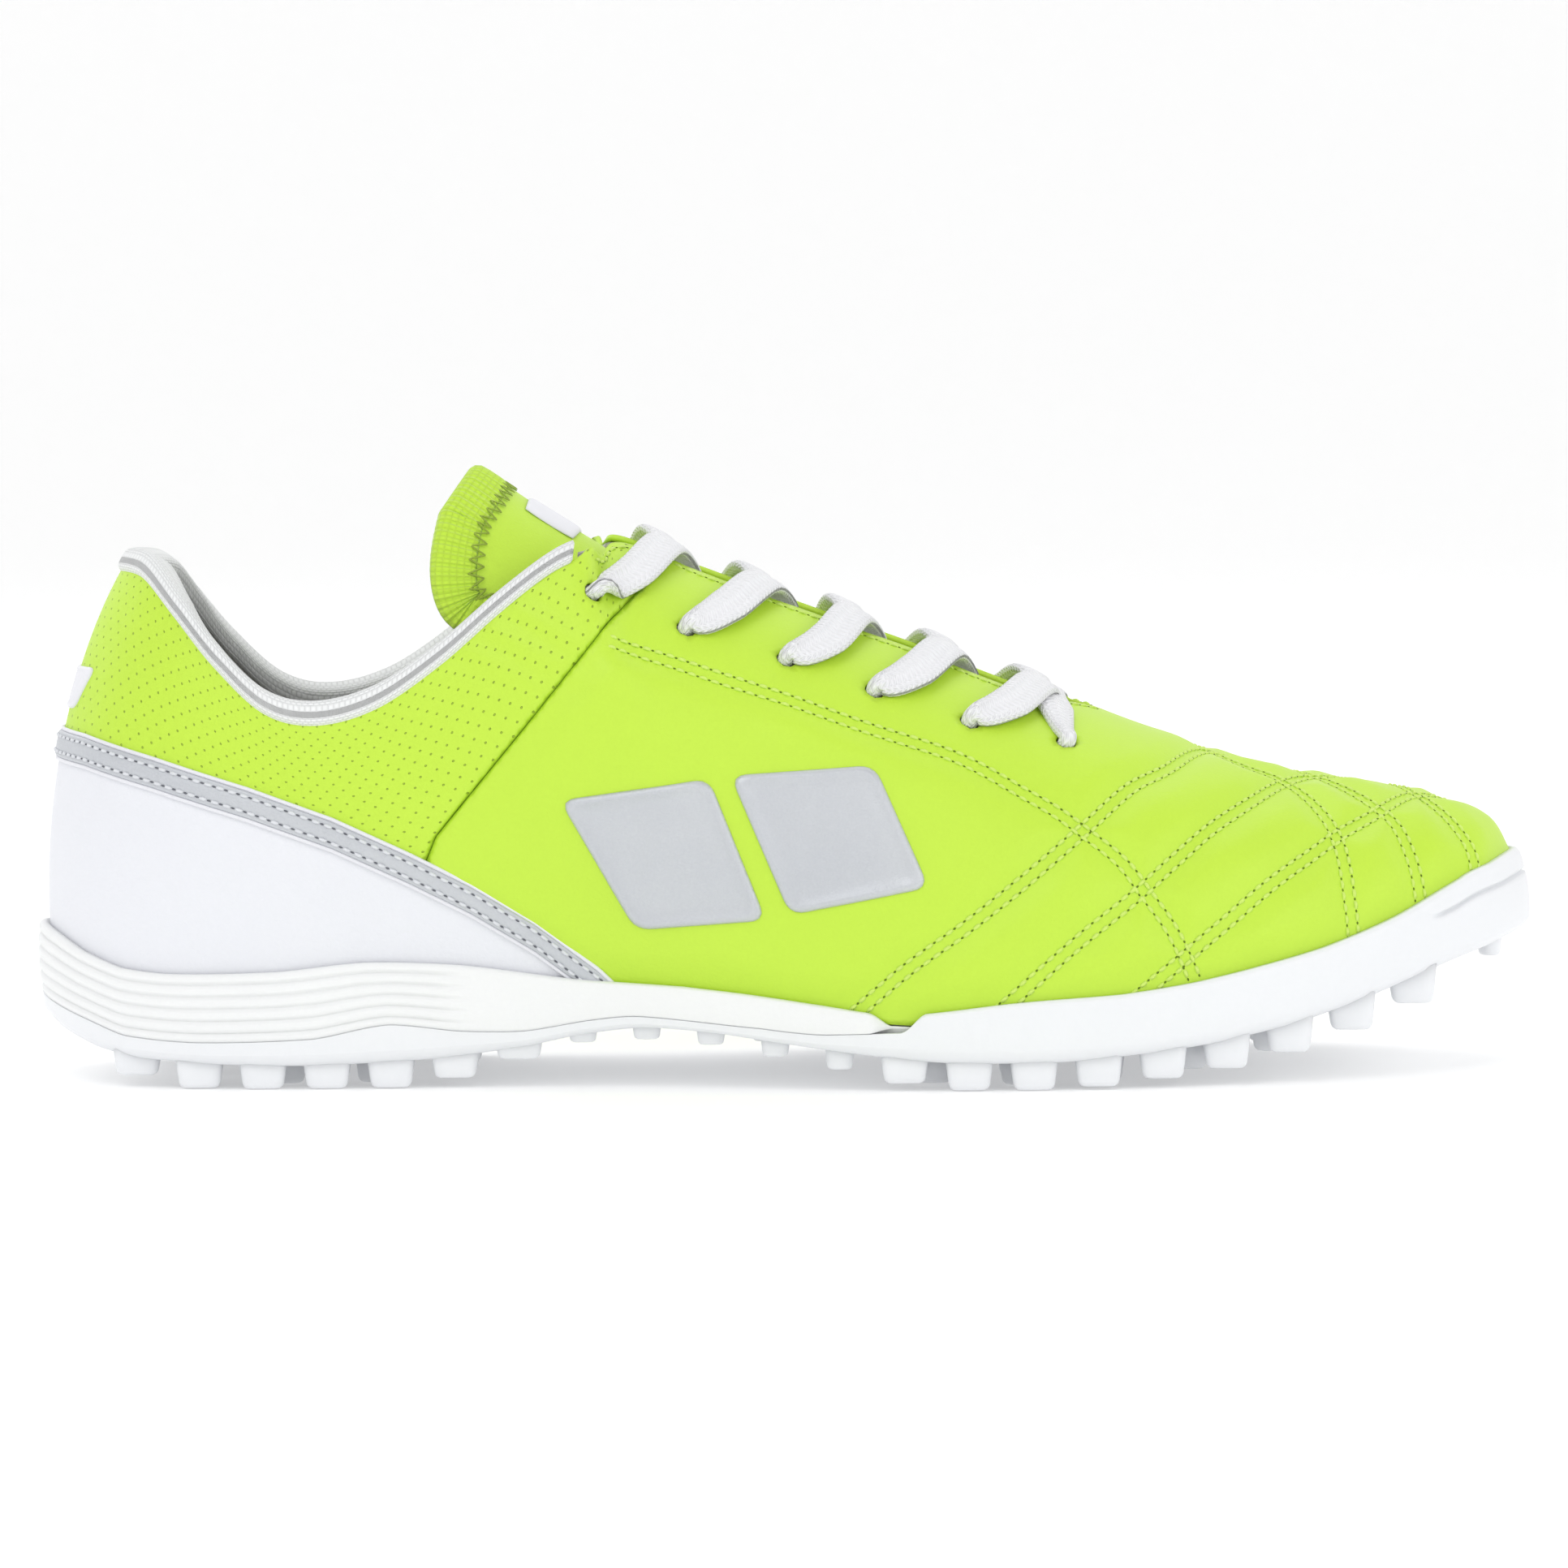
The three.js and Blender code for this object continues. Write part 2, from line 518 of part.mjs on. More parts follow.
/** Foil or film laid on the skin inside an [x, z] outline, on one side or on both. */
function overlay(outline, y0, y1) {
  const film = layer({ rows: SKIN_ROWS, outer: GAP + TRIM, inner: GAP });
  return largest(film.intersect(prism(outline, y0, y1)).subtract(both(soleZone())));
}

function heelBadge() {
  const film = layer({ u0: AROUND - 2, u1: AROUND + 2, rows: SKIN_ROWS, outer: GAP + TRIM, inner: GAP });
  const shape = new THREE.Shape(rounded(HEEL_BADGE, 2).map(([y, z]) => new THREE.Vector2(y, z)));
  const g = new THREE.ExtrudeGeometry(shape, { depth: 60, bevelEnabled: false });
  g.rotateX(Math.PI / 2).rotateZ(Math.PI / 2).translate(-160 * LENGTH_SCALE, 0, 0);
  return largest(film.intersect(toSolid(g)));
}

// ---------------------------------------------------------------- sole
/** Solid between a stack of loops round the shoe, each loop a function of the ring position. */
function loopStack(loops) {
  const count = AROUND * STEPS;
  const rings = loops.map((loop) => Array.from({ length: count }, (_, i) => loop(i / STEPS)));
  const points = rings.flat();
  const triangles = [];
  for (let r = 0; r < rings.length - 1; r++)
    for (let i = 0; i < count; i++) {
      const [a, b] = [r * count + i, r * count + ((i + 1) % count)];
      triangles.push([a, b, b + count], [a, b + count, a + count]);
    }
  const half = count / 2;
  for (const [base, flip] of [[0, false], [(rings.length - 1) * count, true]])
    for (let i = 0; i < half; i++) {
      const quad = [base + i, base + ((count - i) % count), base + count - i - 1, base + i + 1];
      const [a, b, c, d] = flip ? quad.reverse() : quad;
      triangles.push([a, b, c], [a, c, d]);
    }
  return toSolid(closedGeometry(points, triangles));
}

const footX = (u) => side(u).points[0].x;
const bed = (u) => heightAt(BED, footX(u));
const rimTop = (u) => heightAt(RIM_TOP, footX(u));
const plate = (u) => heightAt(PLATE, footX(u));
const parting = (u) => heightAt(PARTING, footX(u));
const wallRise = (u) => smooth(CUP_END - 1, CUP_END + 4, footX(u) / LENGTH_SCALE); // rubber side: 0 at the heel
const flareEnd = (u) => smooth(CUP_END - 7, CUP_END - 2, footX(u) / LENGTH_SCALE); // foam side: 1 at the toe
const floor = (u) => plate(u) + lerp(ARCH_FLOOR, CUP_FLOOR, smooth(15, 35, Math.abs(footX(u) / LENGTH_SCALE + 20)));

function outsole() {
  const wallTop = (u) => lerp(parting(u), rimTop(u), wallRise(u));
  const front = (u) => wallRise(u) > 0.5;
  const ledge = (u) => (front(u) ? bed(u) + GAP : lerp(floor(u), wallTop(u), 0.4));
  const between = (u) => lerp(ledge(u), wallTop(u), 0.5);
  const skirt = (u) => Math.min(lerp(plate(u), wallTop(u), 0.45), floor(u)); // widest below the inner floor
  const shell = loopStack([
    (u) => footPoint(u, -1.5, plate(u)),
    (u) => footPoint(u, SOLE_FLARE * 0.9, skirt(u)),
    (u) => (front(u) ? wallPoint(u, wallTop(u), GAP + RIM) : footPoint(u, SOLE_FLARE, wallTop(u))),
    (u) => (front(u) ? wallPoint(u, wallTop(u), GAP) : footPoint(u, 0.7, wallTop(u))),
    (u) => (front(u) ? wallPoint(u, between(u), GAP + 0.05) : footPoint(u, 0.6, between(u))),
    (u) => footPoint(u, 0.45, ledge(u)),
    (u) => footPoint(u, 0.4, floor(u)),
  ]);
  return largest(wasm.Manifold.union([shell, ...lugs()]));
}

/** One tapered lug from the plate down to the tread line. */
function lug(x, y, radiusX, radiusY, sides) {
  const root = (at) => heightAt(PLATE, at) + CUP_FLOOR / 2;
  const tip = heightAt(LUG_TIP, x);
  const top = root(x);
  const g = new THREE.CylinderGeometry(1, LUG_TAPER, top - tip, sides);
  if (sides === 4) g.rotateY(Math.PI / 4).scale(Math.SQRT2, 1, Math.SQRT2);
  g.rotateX(Math.PI / 2).scale(radiusX, radiusY, 1);
  g.translate(x, y, (top + tip) / 2);
  const corners = g.attributes.position;
  for (let i = 0; i < corners.count; i++) if (corners.getZ(i) > tip + 0.1) corners.setZ(i, root(corners.getX(i)));
  return toSolid(g);
}

/** Foot line y at x, on one side. */
function footY(x, medial) {
  let low = 0;
  let high = LAST;
  for (let i = 0; i < 30; i++) {
    const mid = (low + high) / 2;
    if (footX(mid) < x) low = mid;
    else high = mid;
  }
  return side(medial ? AROUND - low : low).points[0].y;
}

const EDGE_LUGS = { first: -124, last: 130, pitch: 12.1, inset: 3.4, halfLength: 4.6, halfWidth: 3.6 };
const STUDS = { pitch: 16, radius: 4, rows: [-113, -96, -79, -63, 27, 43, 59, 75, 91, 107] };
const ARCH_STUDS = [[-38, 0], [-27, -13], [-27, 10], [-16, 0], [-5, -15], [-5, 13], [8, -6], [10, 12]];

function lugs() {
  const made = [];
  for (let x = EDGE_LUGS.first; x <= EDGE_LUGS.last; x += EDGE_LUGS.pitch)
    for (const medial of [false, true]) {
      const y = footY(x * LENGTH_SCALE, medial) + (medial ? -1 : 1) * EDGE_LUGS.inset;
      const arch = x > -45 && x < 15;
      const size = arch ? 0.62 : 1;
      made.push(lug(x * LENGTH_SCALE, y, EDGE_LUGS.halfLength * size, EDGE_LUGS.halfWidth * size, arch ? 6 : 4));
    }
  for (const x of STUDS.rows) {
    const at = x * LENGTH_SCALE;
    const low = footY(at, false) + EDGE_LUGS.inset + 10;
    const high = footY(at, true) - EDGE_LUGS.inset - 10;
    const count = Math.max(1, Math.round((high - low) / STUDS.pitch) + 1);
    for (let i = 0; i < count; i++)
      made.push(lug(at, count === 1 ? (low + high) / 2 : lerp(low, high, i / (count - 1)), STUDS.radius, STUDS.radius, 6));
  }
  for (const [x, y] of ARCH_STUDS) made.push(lug(x * LENGTH_SCALE, y * WIDTH_SCALE, 2.8, 2.8, 6));
  made.push(lug(135 * LENGTH_SCALE, 6 * WIDTH_SCALE, 2.5, 4.5, 6));
  return made;
}

function midsole() {
  const mix = (u, rear, front) => lerp(rear, front, flareEnd(u));
  const rim = (u, offset, frontOffset, frontDrop) => {
    const z = mix(u, rimTop(u), bed(u) - frontDrop);
    const p = wallPoint(u, z, 0).lerp(footPoint(u, 0, z), flareEnd(u));
    return p.addScaledVector(side(u).out, mix(u, offset, frontOffset)).setZ(z);
  };
  return loopStack([
    (u) => footPoint(u, 0, floor(u) + GAP),
    (u) => footPoint(u, mix(u, 0.05, 0), mix(u, parting(u) + GAP, bed(u) - 0.6)),
    (u) => footPoint(u, mix(u, SOLE_FLARE, 0.1), mix(u, parting(u) + GAP + 0.02, bed(u) - 0.45)),
    (u) => rim(u, GAP + RIM, 0.15, 0.3),
    (u) => rim(u, GAP, 0.12, 0.15),
    (u) => footPoint(u, mix(u, GAP, 0.1), bed(u)),
  ]);
}

const INSIDE = -liningIn(AROUND / 2, 0) + GAP;

function insoleBoard() {
  return loopStack([
    (u) => footPoint(u, -INSIDE, bed(u) + GAP),
    (u) => footPoint(u, -INSIDE, bed(u) + GAP + BOARD),
  ]);
}

const linerBase = (x) => heightAt(BED, x) + GAP + BOARD + GAP;

function sockliner() {
  const whole = loopStack([
    (u) => footPoint(u, -INSIDE - 0.9, linerBase(footX(u))),
    (u) => footPoint(u, -INSIDE - 0.6, linerBase(footX(u)) + FOOTBED * 0.5),
    (u) => footPoint(u, -INSIDE - 1.1, linerBase(footX(u)) + FOOTBED),
  ]);
  const x = SPLIT_X * LENGTH_SCALE;
  const rear = (at) => both([[-FAR, -20], [at, -20], [at, FAR], [-FAR, FAR]]);
  return { sockliner_rear: whole.intersect(rear(x - GAP)), sockliner_front: whole.subtract(rear(x)) };
}

// ---------------------------------------------------------------- tongue
const tongueCurve = new THREE.CatmullRomCurve3(scaled(TONGUE_LINE).map(([x, z]) => new THREE.Vector3(x, 0, z)));
const TONGUE_LENGTH = tongueCurve.getLength();

/** Half width of the tongue, measured over its curve, at a distance from its toe end. */
function tongueHalf(along) {
  const left = TONGUE_LENGTH - along;
  const lower = [[0, 20], [20, 25], [60, 31], [90, 35], [112, 41], [200, 41]];
  const i = lower.findIndex((p) => p[0] > along);
  const wide = lerp(lower[i - 1][1], lower[i][1], (along - lower[i - 1][0]) / (lower[i][0] - lower[i - 1][0]));
  return wide * Math.sqrt(clamp01(1 - (1 - clamp01(left / 14)) ** 2 * 0.72));
}

/** Point of the tongue: distance along from its toe end, distance across from its centre, depth under its face. */
function tonguePoint(along, across, depth) {
  const t = clamp01(along / TONGUE_LENGTH);
  const centre = tongueCurve.getPointAt(t);
  const ahead = tongueCurve.getTangentAt(t);
  const down = new THREE.Vector3(ahead.z, 0, -ahead.x);
  if (down.z > 0) down.negate();
  const throat = lerp(THROAT_RADIUS + 8, THROAT_RADIUS, smooth(5, 40, along));
  const radius = lerp(throat, TONGUE_RADIUS, smooth(TONGUE_LENGTH - 45, TONGUE_LENGTH - 15, along)) * WIDTH_SCALE;
  const quarter = (radius * Math.PI) / 2;
  const bent = Math.min(Math.abs(across), quarter);
  const angle = bent / radius;
  const side = Math.sign(across);
  const inner = radius - depth;
  return centre
    .addScaledVector(down, radius - inner * Math.cos(angle) + Math.abs(across) - bent)
    .add(new THREE.Vector3(0, side * inner * Math.sin(angle), 0));
}

/** Sheet of the tongue over a grid of [along, across] places. */
function tongueSheet(grid, outer, inner) {
  const at = (depth) => grid.map((column) => column.map(([along, across]) => tonguePoint(along, across, depth)));
  return toSolid(slab(at(outer), at(inner)));
}

function patch(from, to, half, columns, rows) {
  return Array.from({ length: columns + 1 }, (_, i) => {
    const along = lerp(to, from, i / columns);
    return Array.from({ length: rows + 1 }, (_, j) => [along, half(along) * lerp(-1, 1, j / rows)]);
  });
}

/** Distance along the tongue where its centre line passes x. */
function alongAt(x) {
  let low = 0;
  let high = 1;
  for (let i = 0; i < 40; i++) {
    const mid = (low + high) / 2;
    if (tongueCurve.getPointAt(mid).x > x) low = mid;
    else high = mid;
  }
  return low * TONGUE_LENGTH;
}

const bendAlong = alongAt(HINGE_X * LENGTH_SCALE);

function tongue() {
  const end = TONGUE_LENGTH - KNIT_WIDTH - GAP;
  const lower = (inset) => patch(0, bendAlong - GAP, (a) => tongueHalf(a) - inset, 7, 8);
  const inside = (inset) => (a) => Math.max(6, (tongueHalf(Math.min(a + KNIT_WIDTH, TONGUE_LENGTH)) - KNIT_WIDTH * 0.8) - inset);
  const upper = (inset) => patch(bendAlong + GAP, end - inset, inside(inset), 3, 8);
  const skinDepth = TONGUE_SKIN;
  const foamOut = skinDepth + GAP;
  const foamIn = foamOut + TONGUE_FOAM;
  const liningIn = foamIn + GAP + LINING;
  const knit = [];
  const edgeOut = [];
  const edgeIn = [];
  for (let i = 0; i <= 6; i++) {
    const a = lerp(bendAlong + GAP, TONGUE_LENGTH, i / 6);
    edgeOut.push([a, tongueHalf(a)]);
    const b = lerp(bendAlong + GAP, end + 1.3 * GAP, i / 6);
    edgeIn.push([b, inside(0)(b) + 1.3 * GAP]);
  }
  const loop = (edge) => [...edge, ...[...edge].reverse().map(([a, c]) => [a, -c])];
  const acrossTop = (edge) => {
    const [a, c] = edge[edge.length - 1];
    return [...edge, ...[0.6, 0.2, -0.2, -0.6].map((s) => [a, s * c]), ...[...edge].reverse().map(([x, y]) => [x, -y])];
  };
  const outLoop = acrossTop(edgeOut);
  const inLoop = acrossTop(edgeIn);
  outLoop.forEach((p, i) => knit.push([p, inLoop[i]]));
  return {
    tongue_face_lower: tongueSheet(lower(0), 0, skinDepth),
    tongue_foam_lower: tongueSheet(lower(0), foamOut, foamIn),
    tongue_lining_lower: tongueSheet(lower(0), foamIn + GAP, liningIn),
    tongue_face_upper: tongueSheet(upper(0), 0, skinDepth),
    tongue_foam_upper: tongueSheet(upper(0), foamOut, foamIn),
    tongue_lining_upper: tongueSheet(upper(0), foamIn + GAP, liningIn),
    tongue_edge_knit: tongueSheet(knit, 0, foamIn),
  };
}

/** Woven keeper on the tongue that the lace passes through. */
function laceLoop() {
  const place = alongAt(-0.4 * LENGTH_SCALE);
  return tongueSheet(patch(place - 3.2, place + 3.2, () => 7, 2, 4), -GAP - 0.7, -GAP);
}

function tongueBadge() {
  const from = bendAlong + 7;
  return tongueSheet(patch(from, from + 11, () => 9, 2, 4), -GAP - 0.4, -GAP);
}

// ---------------------------------------------------------------- lace
/** Ring position on the throat's edge (or on the ridge) nearest x. */
function alongThroat(x, value) {
  let low = CORNER;
  let high = THROAT_END;
  for (let i = 0; i < 40; i++) {
    const mid = (low + high) / 2;
    if (value(mid) < x) low = mid;
    else high = mid;
  }
  return low;
}

const UNDER = liningIn(14, 0.8) - GAP - LACE_THICKNESS / 2 - 0.5;
const OVER = LACE_THICKNESS / 2 + GAP;

/** Stations of the lace: place, which way its flat side looks, and its width there. */
function laceRoute() {
  const eyes = scaled(EYELETS);
  const route = [];
  const add = (place, flat, width, turn) => route.push({ place, flat: flat.clone().multiplyScalar(turn), width });
  const eye = (row, medial) => locate(eyes[row], medial);
  const atEdge = (x, medial, d, turn) => {
    const u = alongThroat(x, (k) => bare(k, side(k).edge).x);
    const at = medial ? AROUND - u : u;
    add(surface(at, side(at).edge, d), normalAt(at, side(at).edge), LACE_WIDTH, turn);
  };
  const overTongue = (x, rise, turn) => {
    const t = clamp01(alongAt(x) / TONGUE_LENGTH);
    const centre = tongueCurve.getPointAt(t);
    const ahead = tongueCurve.getTangentAt(t);
    const up = new THREE.Vector3(-ahead.z, 0, ahead.x);
    if (up.z < 0) up.negate();
    add(centre.addScaledVector(up, rise), up, LACE_WIDTH, turn);
  };
  const nearEye = (row, medial, d, share, width, turn) => {
    const { u, v } = eye(row, medial);
    const high = lerp(v, side(u).edge, share);
    add(surface(u, high, d), normalAt(u, high), width, turn);
  };
  // From the top of one eyelet over its flap, across the tongue, and up through the next eyelet from below.
  const cross = (row, medial, high, turn) => {
    const [a, b] = [eyes[row][0], eyes[row + 1][0]];
    nearEye(row, medial, OVER, 0.16, 4.6, turn);
    nearEye(row, medial, OVER + 0.6, 0.5, 7, turn);
    if (row === 0) atEdge(a + 1.2, medial, OVER + 1.2, turn);
    atEdge(lerp(a, b, 0.3), medial, OVER + 1.9, turn);
    overTongue(lerp(a, b, 0.5), high ? 2.55 : 1.15, turn);
    atEdge(lerp(a, b, 0.7), !medial, UNDER - 0.5, turn);
    nearEye(row + 1, !medial, UNDER - 1.2, 0.5, 6, turn);
    nearEye(row + 1, !medial, UNDER, 0.16, 4.6, turn);
  };
  const through = (row, medial, inward, turn) => {
    const { u, v } = eye(row, medial);
    const edgeward = surface(u, Math.min(v + 0.04, 1)).sub(surface(u, v)).normalize();
    const out = normalAt(u, v);
    const towards = edgeward.clone().multiplyScalar(inward ? -1 : 1);
    const mouth = (depth, tilt) => add(surface(u, v, depth), towards.clone().addScaledVector(out, tilt).normalize(), LACE_IN_EYELET, turn);
    const [outside, inside] = [[OVER + 0.7, inward ? 1 : -1], [UNDER - 0.9, inward ? -1 : 1]];
    mouth(...(inward ? outside : inside));
    mouth(LINING_OUT / 2, 0);
    mouth(...(inward ? inside : outside));
  };
  const rows = eyes.length;
  let turn = 1;
  let medial = false;
  tuckedEnd(false).reverse().forEach((p) => route.push(p));
  through(0, false, false, turn);
  for (let row = 0; row < rows - 1; row++) {
    cross(row, medial, row % 2 === 0, turn);
    medial = !medial;
    through(row + 1, medial, false, turn);
    turn = -turn;
  }
  // Bar across the last pair
  const bar = [[medial, 0.2], [medial, 0.6], [medial, 0.97], [!medial, 0.97], [!medial, 0.6], [!medial, 0.2]];
  bar.forEach(([m, share]) => nearEye(rows - 1, m, OVER + (share > 0.5 ? 0.3 : 0), share, share > 0.5 ? LACE_WIDTH : 4.6, turn));
  medial = !medial;
  through(rows - 1, medial, true, turn);
  turn = -turn;
  const rest = [];
  const keep = route.length;
  let back = !medial;
  for (let row = rows - 2; row >= 0; row--) {
    cross(row, back, row % 2 === 1, turn);
    rest.push(route.splice(keep).reverse());
    through(row, back, true, turn);
    rest.push(route.splice(keep));
    back = !back;
    turn = -turn;
  }
  route.push(...rest.flat());
  tuckedEnd(true).forEach((p) => route.push({ ...p, flat: p.flat.clone().multiplyScalar(turn) }));
  return route;
}

/** The free end inside the shoe: down the lining and forward beside the footbed, to its aglet. */
function tuckedEnd(medial) {
  const { u, v } = locate(scaled(EYELETS)[0], medial);
  const depth = (k, h) => liningIn(k, h) - GAP - LACE_THICKNESS / 2 - 2.9;
  const points = [];
  for (const [step, share] of [[0.05, 0.95], [0.2, 0.85], [0.6, 0.68], [1.1, 0.5], [1.8, 0.34]]) {
    const at = medial ? u - step : u + step;
    points.push({ place: surface(at, v * share, depth(at, v * share)), flat: normalAt(at, v * share), width: share > 0.9 ? 4.6 : LACE_WIDTH });
  }
  for (let step = 2.8; step < 6; step += 0.75) {
    const at = medial ? u - step : u + step;
    const x = footX(at);
    const place = wallPoint(at, linerBase(x) + FOOTBED + LACE_WIDTH / 2 + 1, liningIn(at, 0.2) - GAP - LACE_THICKNESS / 2 - 3.1);
    points.push({ place, flat: side(at).out, width: LACE_WIDTH });
  }
  return points;
}

/** Flat lace swept along its stations; its section is a flattened octagon. */
function laceBody(route) {
  const curve = new THREE.CatmullRomCurve3(route.map((p) => p.place), false, "centripetal");
  const sections = [];
  route.forEach(({ place, flat, width }, i) => {
    const along = curve.getTangent(i / (route.length - 1));
    const across = along.clone().cross(flat).normalize();
    const face = across.clone().cross(along).normalize();
    const thick = LACE_THICKNESS * (width < 4 ? 1.7 : 1);
    const [w, h] = [width / 2, thick / 2];
    const outline = [[w, 0], [w * 0.8, h], [-w * 0.8, h], [-w, 0], [-w * 0.8, -h], [w * 0.8, -h]];
    sections.push(outline.map(([a, b]) => place.clone().addScaledVector(across, a).addScaledVector(face, b)));
  });
  return closedTube(sections);
}

/** Plastic tip on the end of the lace. */
function aglet(end, before) {
  const direction = end.place.clone().sub(before.place).normalize();
  const g = new THREE.CylinderGeometry(1.3, 1.3, 16, 10);
  g.applyQuaternion(new THREE.Quaternion().setFromUnitVectors(new THREE.Vector3(0, 1, 0), direction));
  const p = end.place.clone().addScaledVector(direction, 8 + GAP);
  return toSolid(g.translate(p.x, p.y, p.z));
}

// ---------------------------------------------------------------- assembly
const FINISH = {
  lime: { color: 0xc6ee4a, roughness: 0.42, metalness: 0 },
  white: { color: 0xf4f5f7, roughness: 0.45, metalness: 0 },
  rubber: { color: 0xf1f3f4, roughness: 0.4, metalness: 0 },
  foam: { color: 0xf6f6f6, roughness: 0.7, metalness: 0 },
  silver: { color: 0xc8cad2, roughness: 0.35, metalness: 0.8 },
  mesh: { color: 0xd8d8d6, roughness: 0.9, metalness: 0 },
  knit: { color: 0xbce43e, roughness: 0.85, metalness: 0 },
  board: { color: 0xb9a98a, roughness: 0.9, metalness: 0 },
  lace: { color: 0xffffff, roughness: 0.8, metalness: 0 },
};

const CENTRE = [0.75, 0.4, 0.1]; // brings the middle of the whole box over the origin, and its foot to z = 0

const shoe = new THREE.Group();
function place(name, solid, finish) {
  const geometry = toGeometry(solid).translate(...CENTRE);
  const mesh = new THREE.Mesh(geometry, new THREE.MeshStandardMaterial(FINISH[finish]));
  mesh.name = name;
  shoe.add(mesh);
}

const pins = eyeletPins();
const cap = collarCap();
const skins = upperSkins(pins, cap);
const liners = linings(pins, cap);
const footbeds = sockliner();
const tonguePieces = tongue();
const route = laceRoute();

place("outsole", outsole(), "rubber");
place("midsole", midsole(), "foam");
place("insole_board", insoleBoard(), "board");
place("sockliner_front", footbeds.sockliner_front, "mesh");
place("sockliner_rear", footbeds.sockliner_rear, "mesh");
place("vamp", skins.vamp, "lime");
place("ankle_quarter_lateral", skins.ankle_quarter_lateral, "lime");
place("ankle_quarter_medial", skins.ankle_quarter_medial, "lime");
place("heel_overlay", skins.heel_overlay, "white");
place("vamp_lining", liners.vamp_lining, "mesh");
place("collar_lining", liners.collar_lining, "mesh");
place("collar_foam", collarFoam(cap), "foam");
place("collar_binding", collarBinding(), "mesh");
place("heel_stiffener", heelStiffener(), "board");
place("toe_puff", toePuff(), "board");
place("eyestay_backing_lateral", eyestayBacking(false, pins), "board");
place("eyestay_backing_medial", eyestayBacking(true, pins), "board");
place("heel_trim_band", overlay(bandZone(), -WIDE, WIDE), "silver");
for (const [name, y0, y1] of [["lateral", -WIDE, 0], ["medial", 0, WIDE]]) {
  place("side_badge_rear_" + name, overlay(rounded(scaled(REAR_BADGE), BADGE_ROUND), y0, y1), "silver");
  place("side_badge_front_" + name, overlay(rounded(scaled(FRONT_BADGE), BADGE_ROUND), y0, y1), "silver");
}
place("heel_badge", heelBadge(), "white");
for (const [name, solid] of Object.entries(tonguePieces)) {
  const finish = name.includes("face") ? "lime" : name.includes("knit") ? "knit" : name.includes("foam") ? "foam" : "mesh";
  place(name, solid, finish);
}
place("tongue_lace_loop", laceLoop(), "knit");
place("tongue_badge", tongueBadge(), "white");
place("lace", laceBody(route), "lace");
place("aglet_lateral", aglet(route[0], route[1]), "lace");
place("aglet_medial", aglet(route[route.length - 1], route[route.length - 2]), "lace");

export default shoe;
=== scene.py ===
import math
from functools import lru_cache

import bpy
import numpy as np
from mathutils import Euler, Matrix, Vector
from mathutils.bvhtree import BVHTree
from mathutils.kdtree import KDTree


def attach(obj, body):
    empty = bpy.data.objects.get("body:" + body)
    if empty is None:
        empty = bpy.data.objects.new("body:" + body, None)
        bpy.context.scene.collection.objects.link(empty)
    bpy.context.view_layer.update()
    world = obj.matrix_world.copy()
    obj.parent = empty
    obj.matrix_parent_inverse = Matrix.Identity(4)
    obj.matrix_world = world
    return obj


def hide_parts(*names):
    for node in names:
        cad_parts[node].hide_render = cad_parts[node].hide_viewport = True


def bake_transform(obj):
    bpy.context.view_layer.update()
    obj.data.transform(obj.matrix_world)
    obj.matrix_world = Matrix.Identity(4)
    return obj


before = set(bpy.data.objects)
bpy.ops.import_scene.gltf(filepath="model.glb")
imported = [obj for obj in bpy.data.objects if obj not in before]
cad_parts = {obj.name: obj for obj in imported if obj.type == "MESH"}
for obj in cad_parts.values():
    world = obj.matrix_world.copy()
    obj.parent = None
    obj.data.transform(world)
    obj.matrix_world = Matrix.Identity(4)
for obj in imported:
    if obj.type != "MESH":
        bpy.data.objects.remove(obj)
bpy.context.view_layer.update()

bl_info = {
    "name": "Turf shoe looks",
    "version": (1, 0, 0),
    "blender": (4, 5, 0),
    "location": "View3D > Sidebar > Shoe",
    "description": "Builds the visible surfaces of a laced turf football shoe over its CAD frame",
    "category": "Object",
}

MM = 0.001
CENTRE = np.array([0.75, 0.4, 0.1])  # millimetres from the shoe's own axes to the row frame

# ---------------------------------------------------------------- driving dimensions, millimetres
GAP = 0.3
PANEL = 1.1  # thickness shown by a panel of the upper
OVERLAY = 1.2  # and by the heel overlay
LINING = 0.7
LINING_OUT = -2.5  # depth of the lining's outer face
COLLAR_PAD = 2.6
RIM = 1.7
SOLE_FLARE = 2.6
CUP_FLOOR = 2.3
ARCH_FLOOR = 1.5
CUP_END = 21.5
FOOTBED = 3.9
BOARD = 1.6
LACE_WIDTH = 8.0
LACE_THICKNESS = 1.0
KNIT_WIDTH = 8.5
HINGE_X = -34
TONGUE_RADIUS = 24
THROAT_RADIUS = 20
BAND_WIDTH = 5.2
BAND_REACH = 8.1  # ring position at which the trim band ends
BAND_TAIL = 2.5  # how far it runs on behind the midsole's rim
BINDING_OUT = 1.2
BINDING_RISE = 1.6  # middle of the binding above the cut edge
BINDING_HALF = 2.6  # half its height
COLLAR_TOP = 0.965
CORNER = 10
THROAT_END = 17
POLE = 21

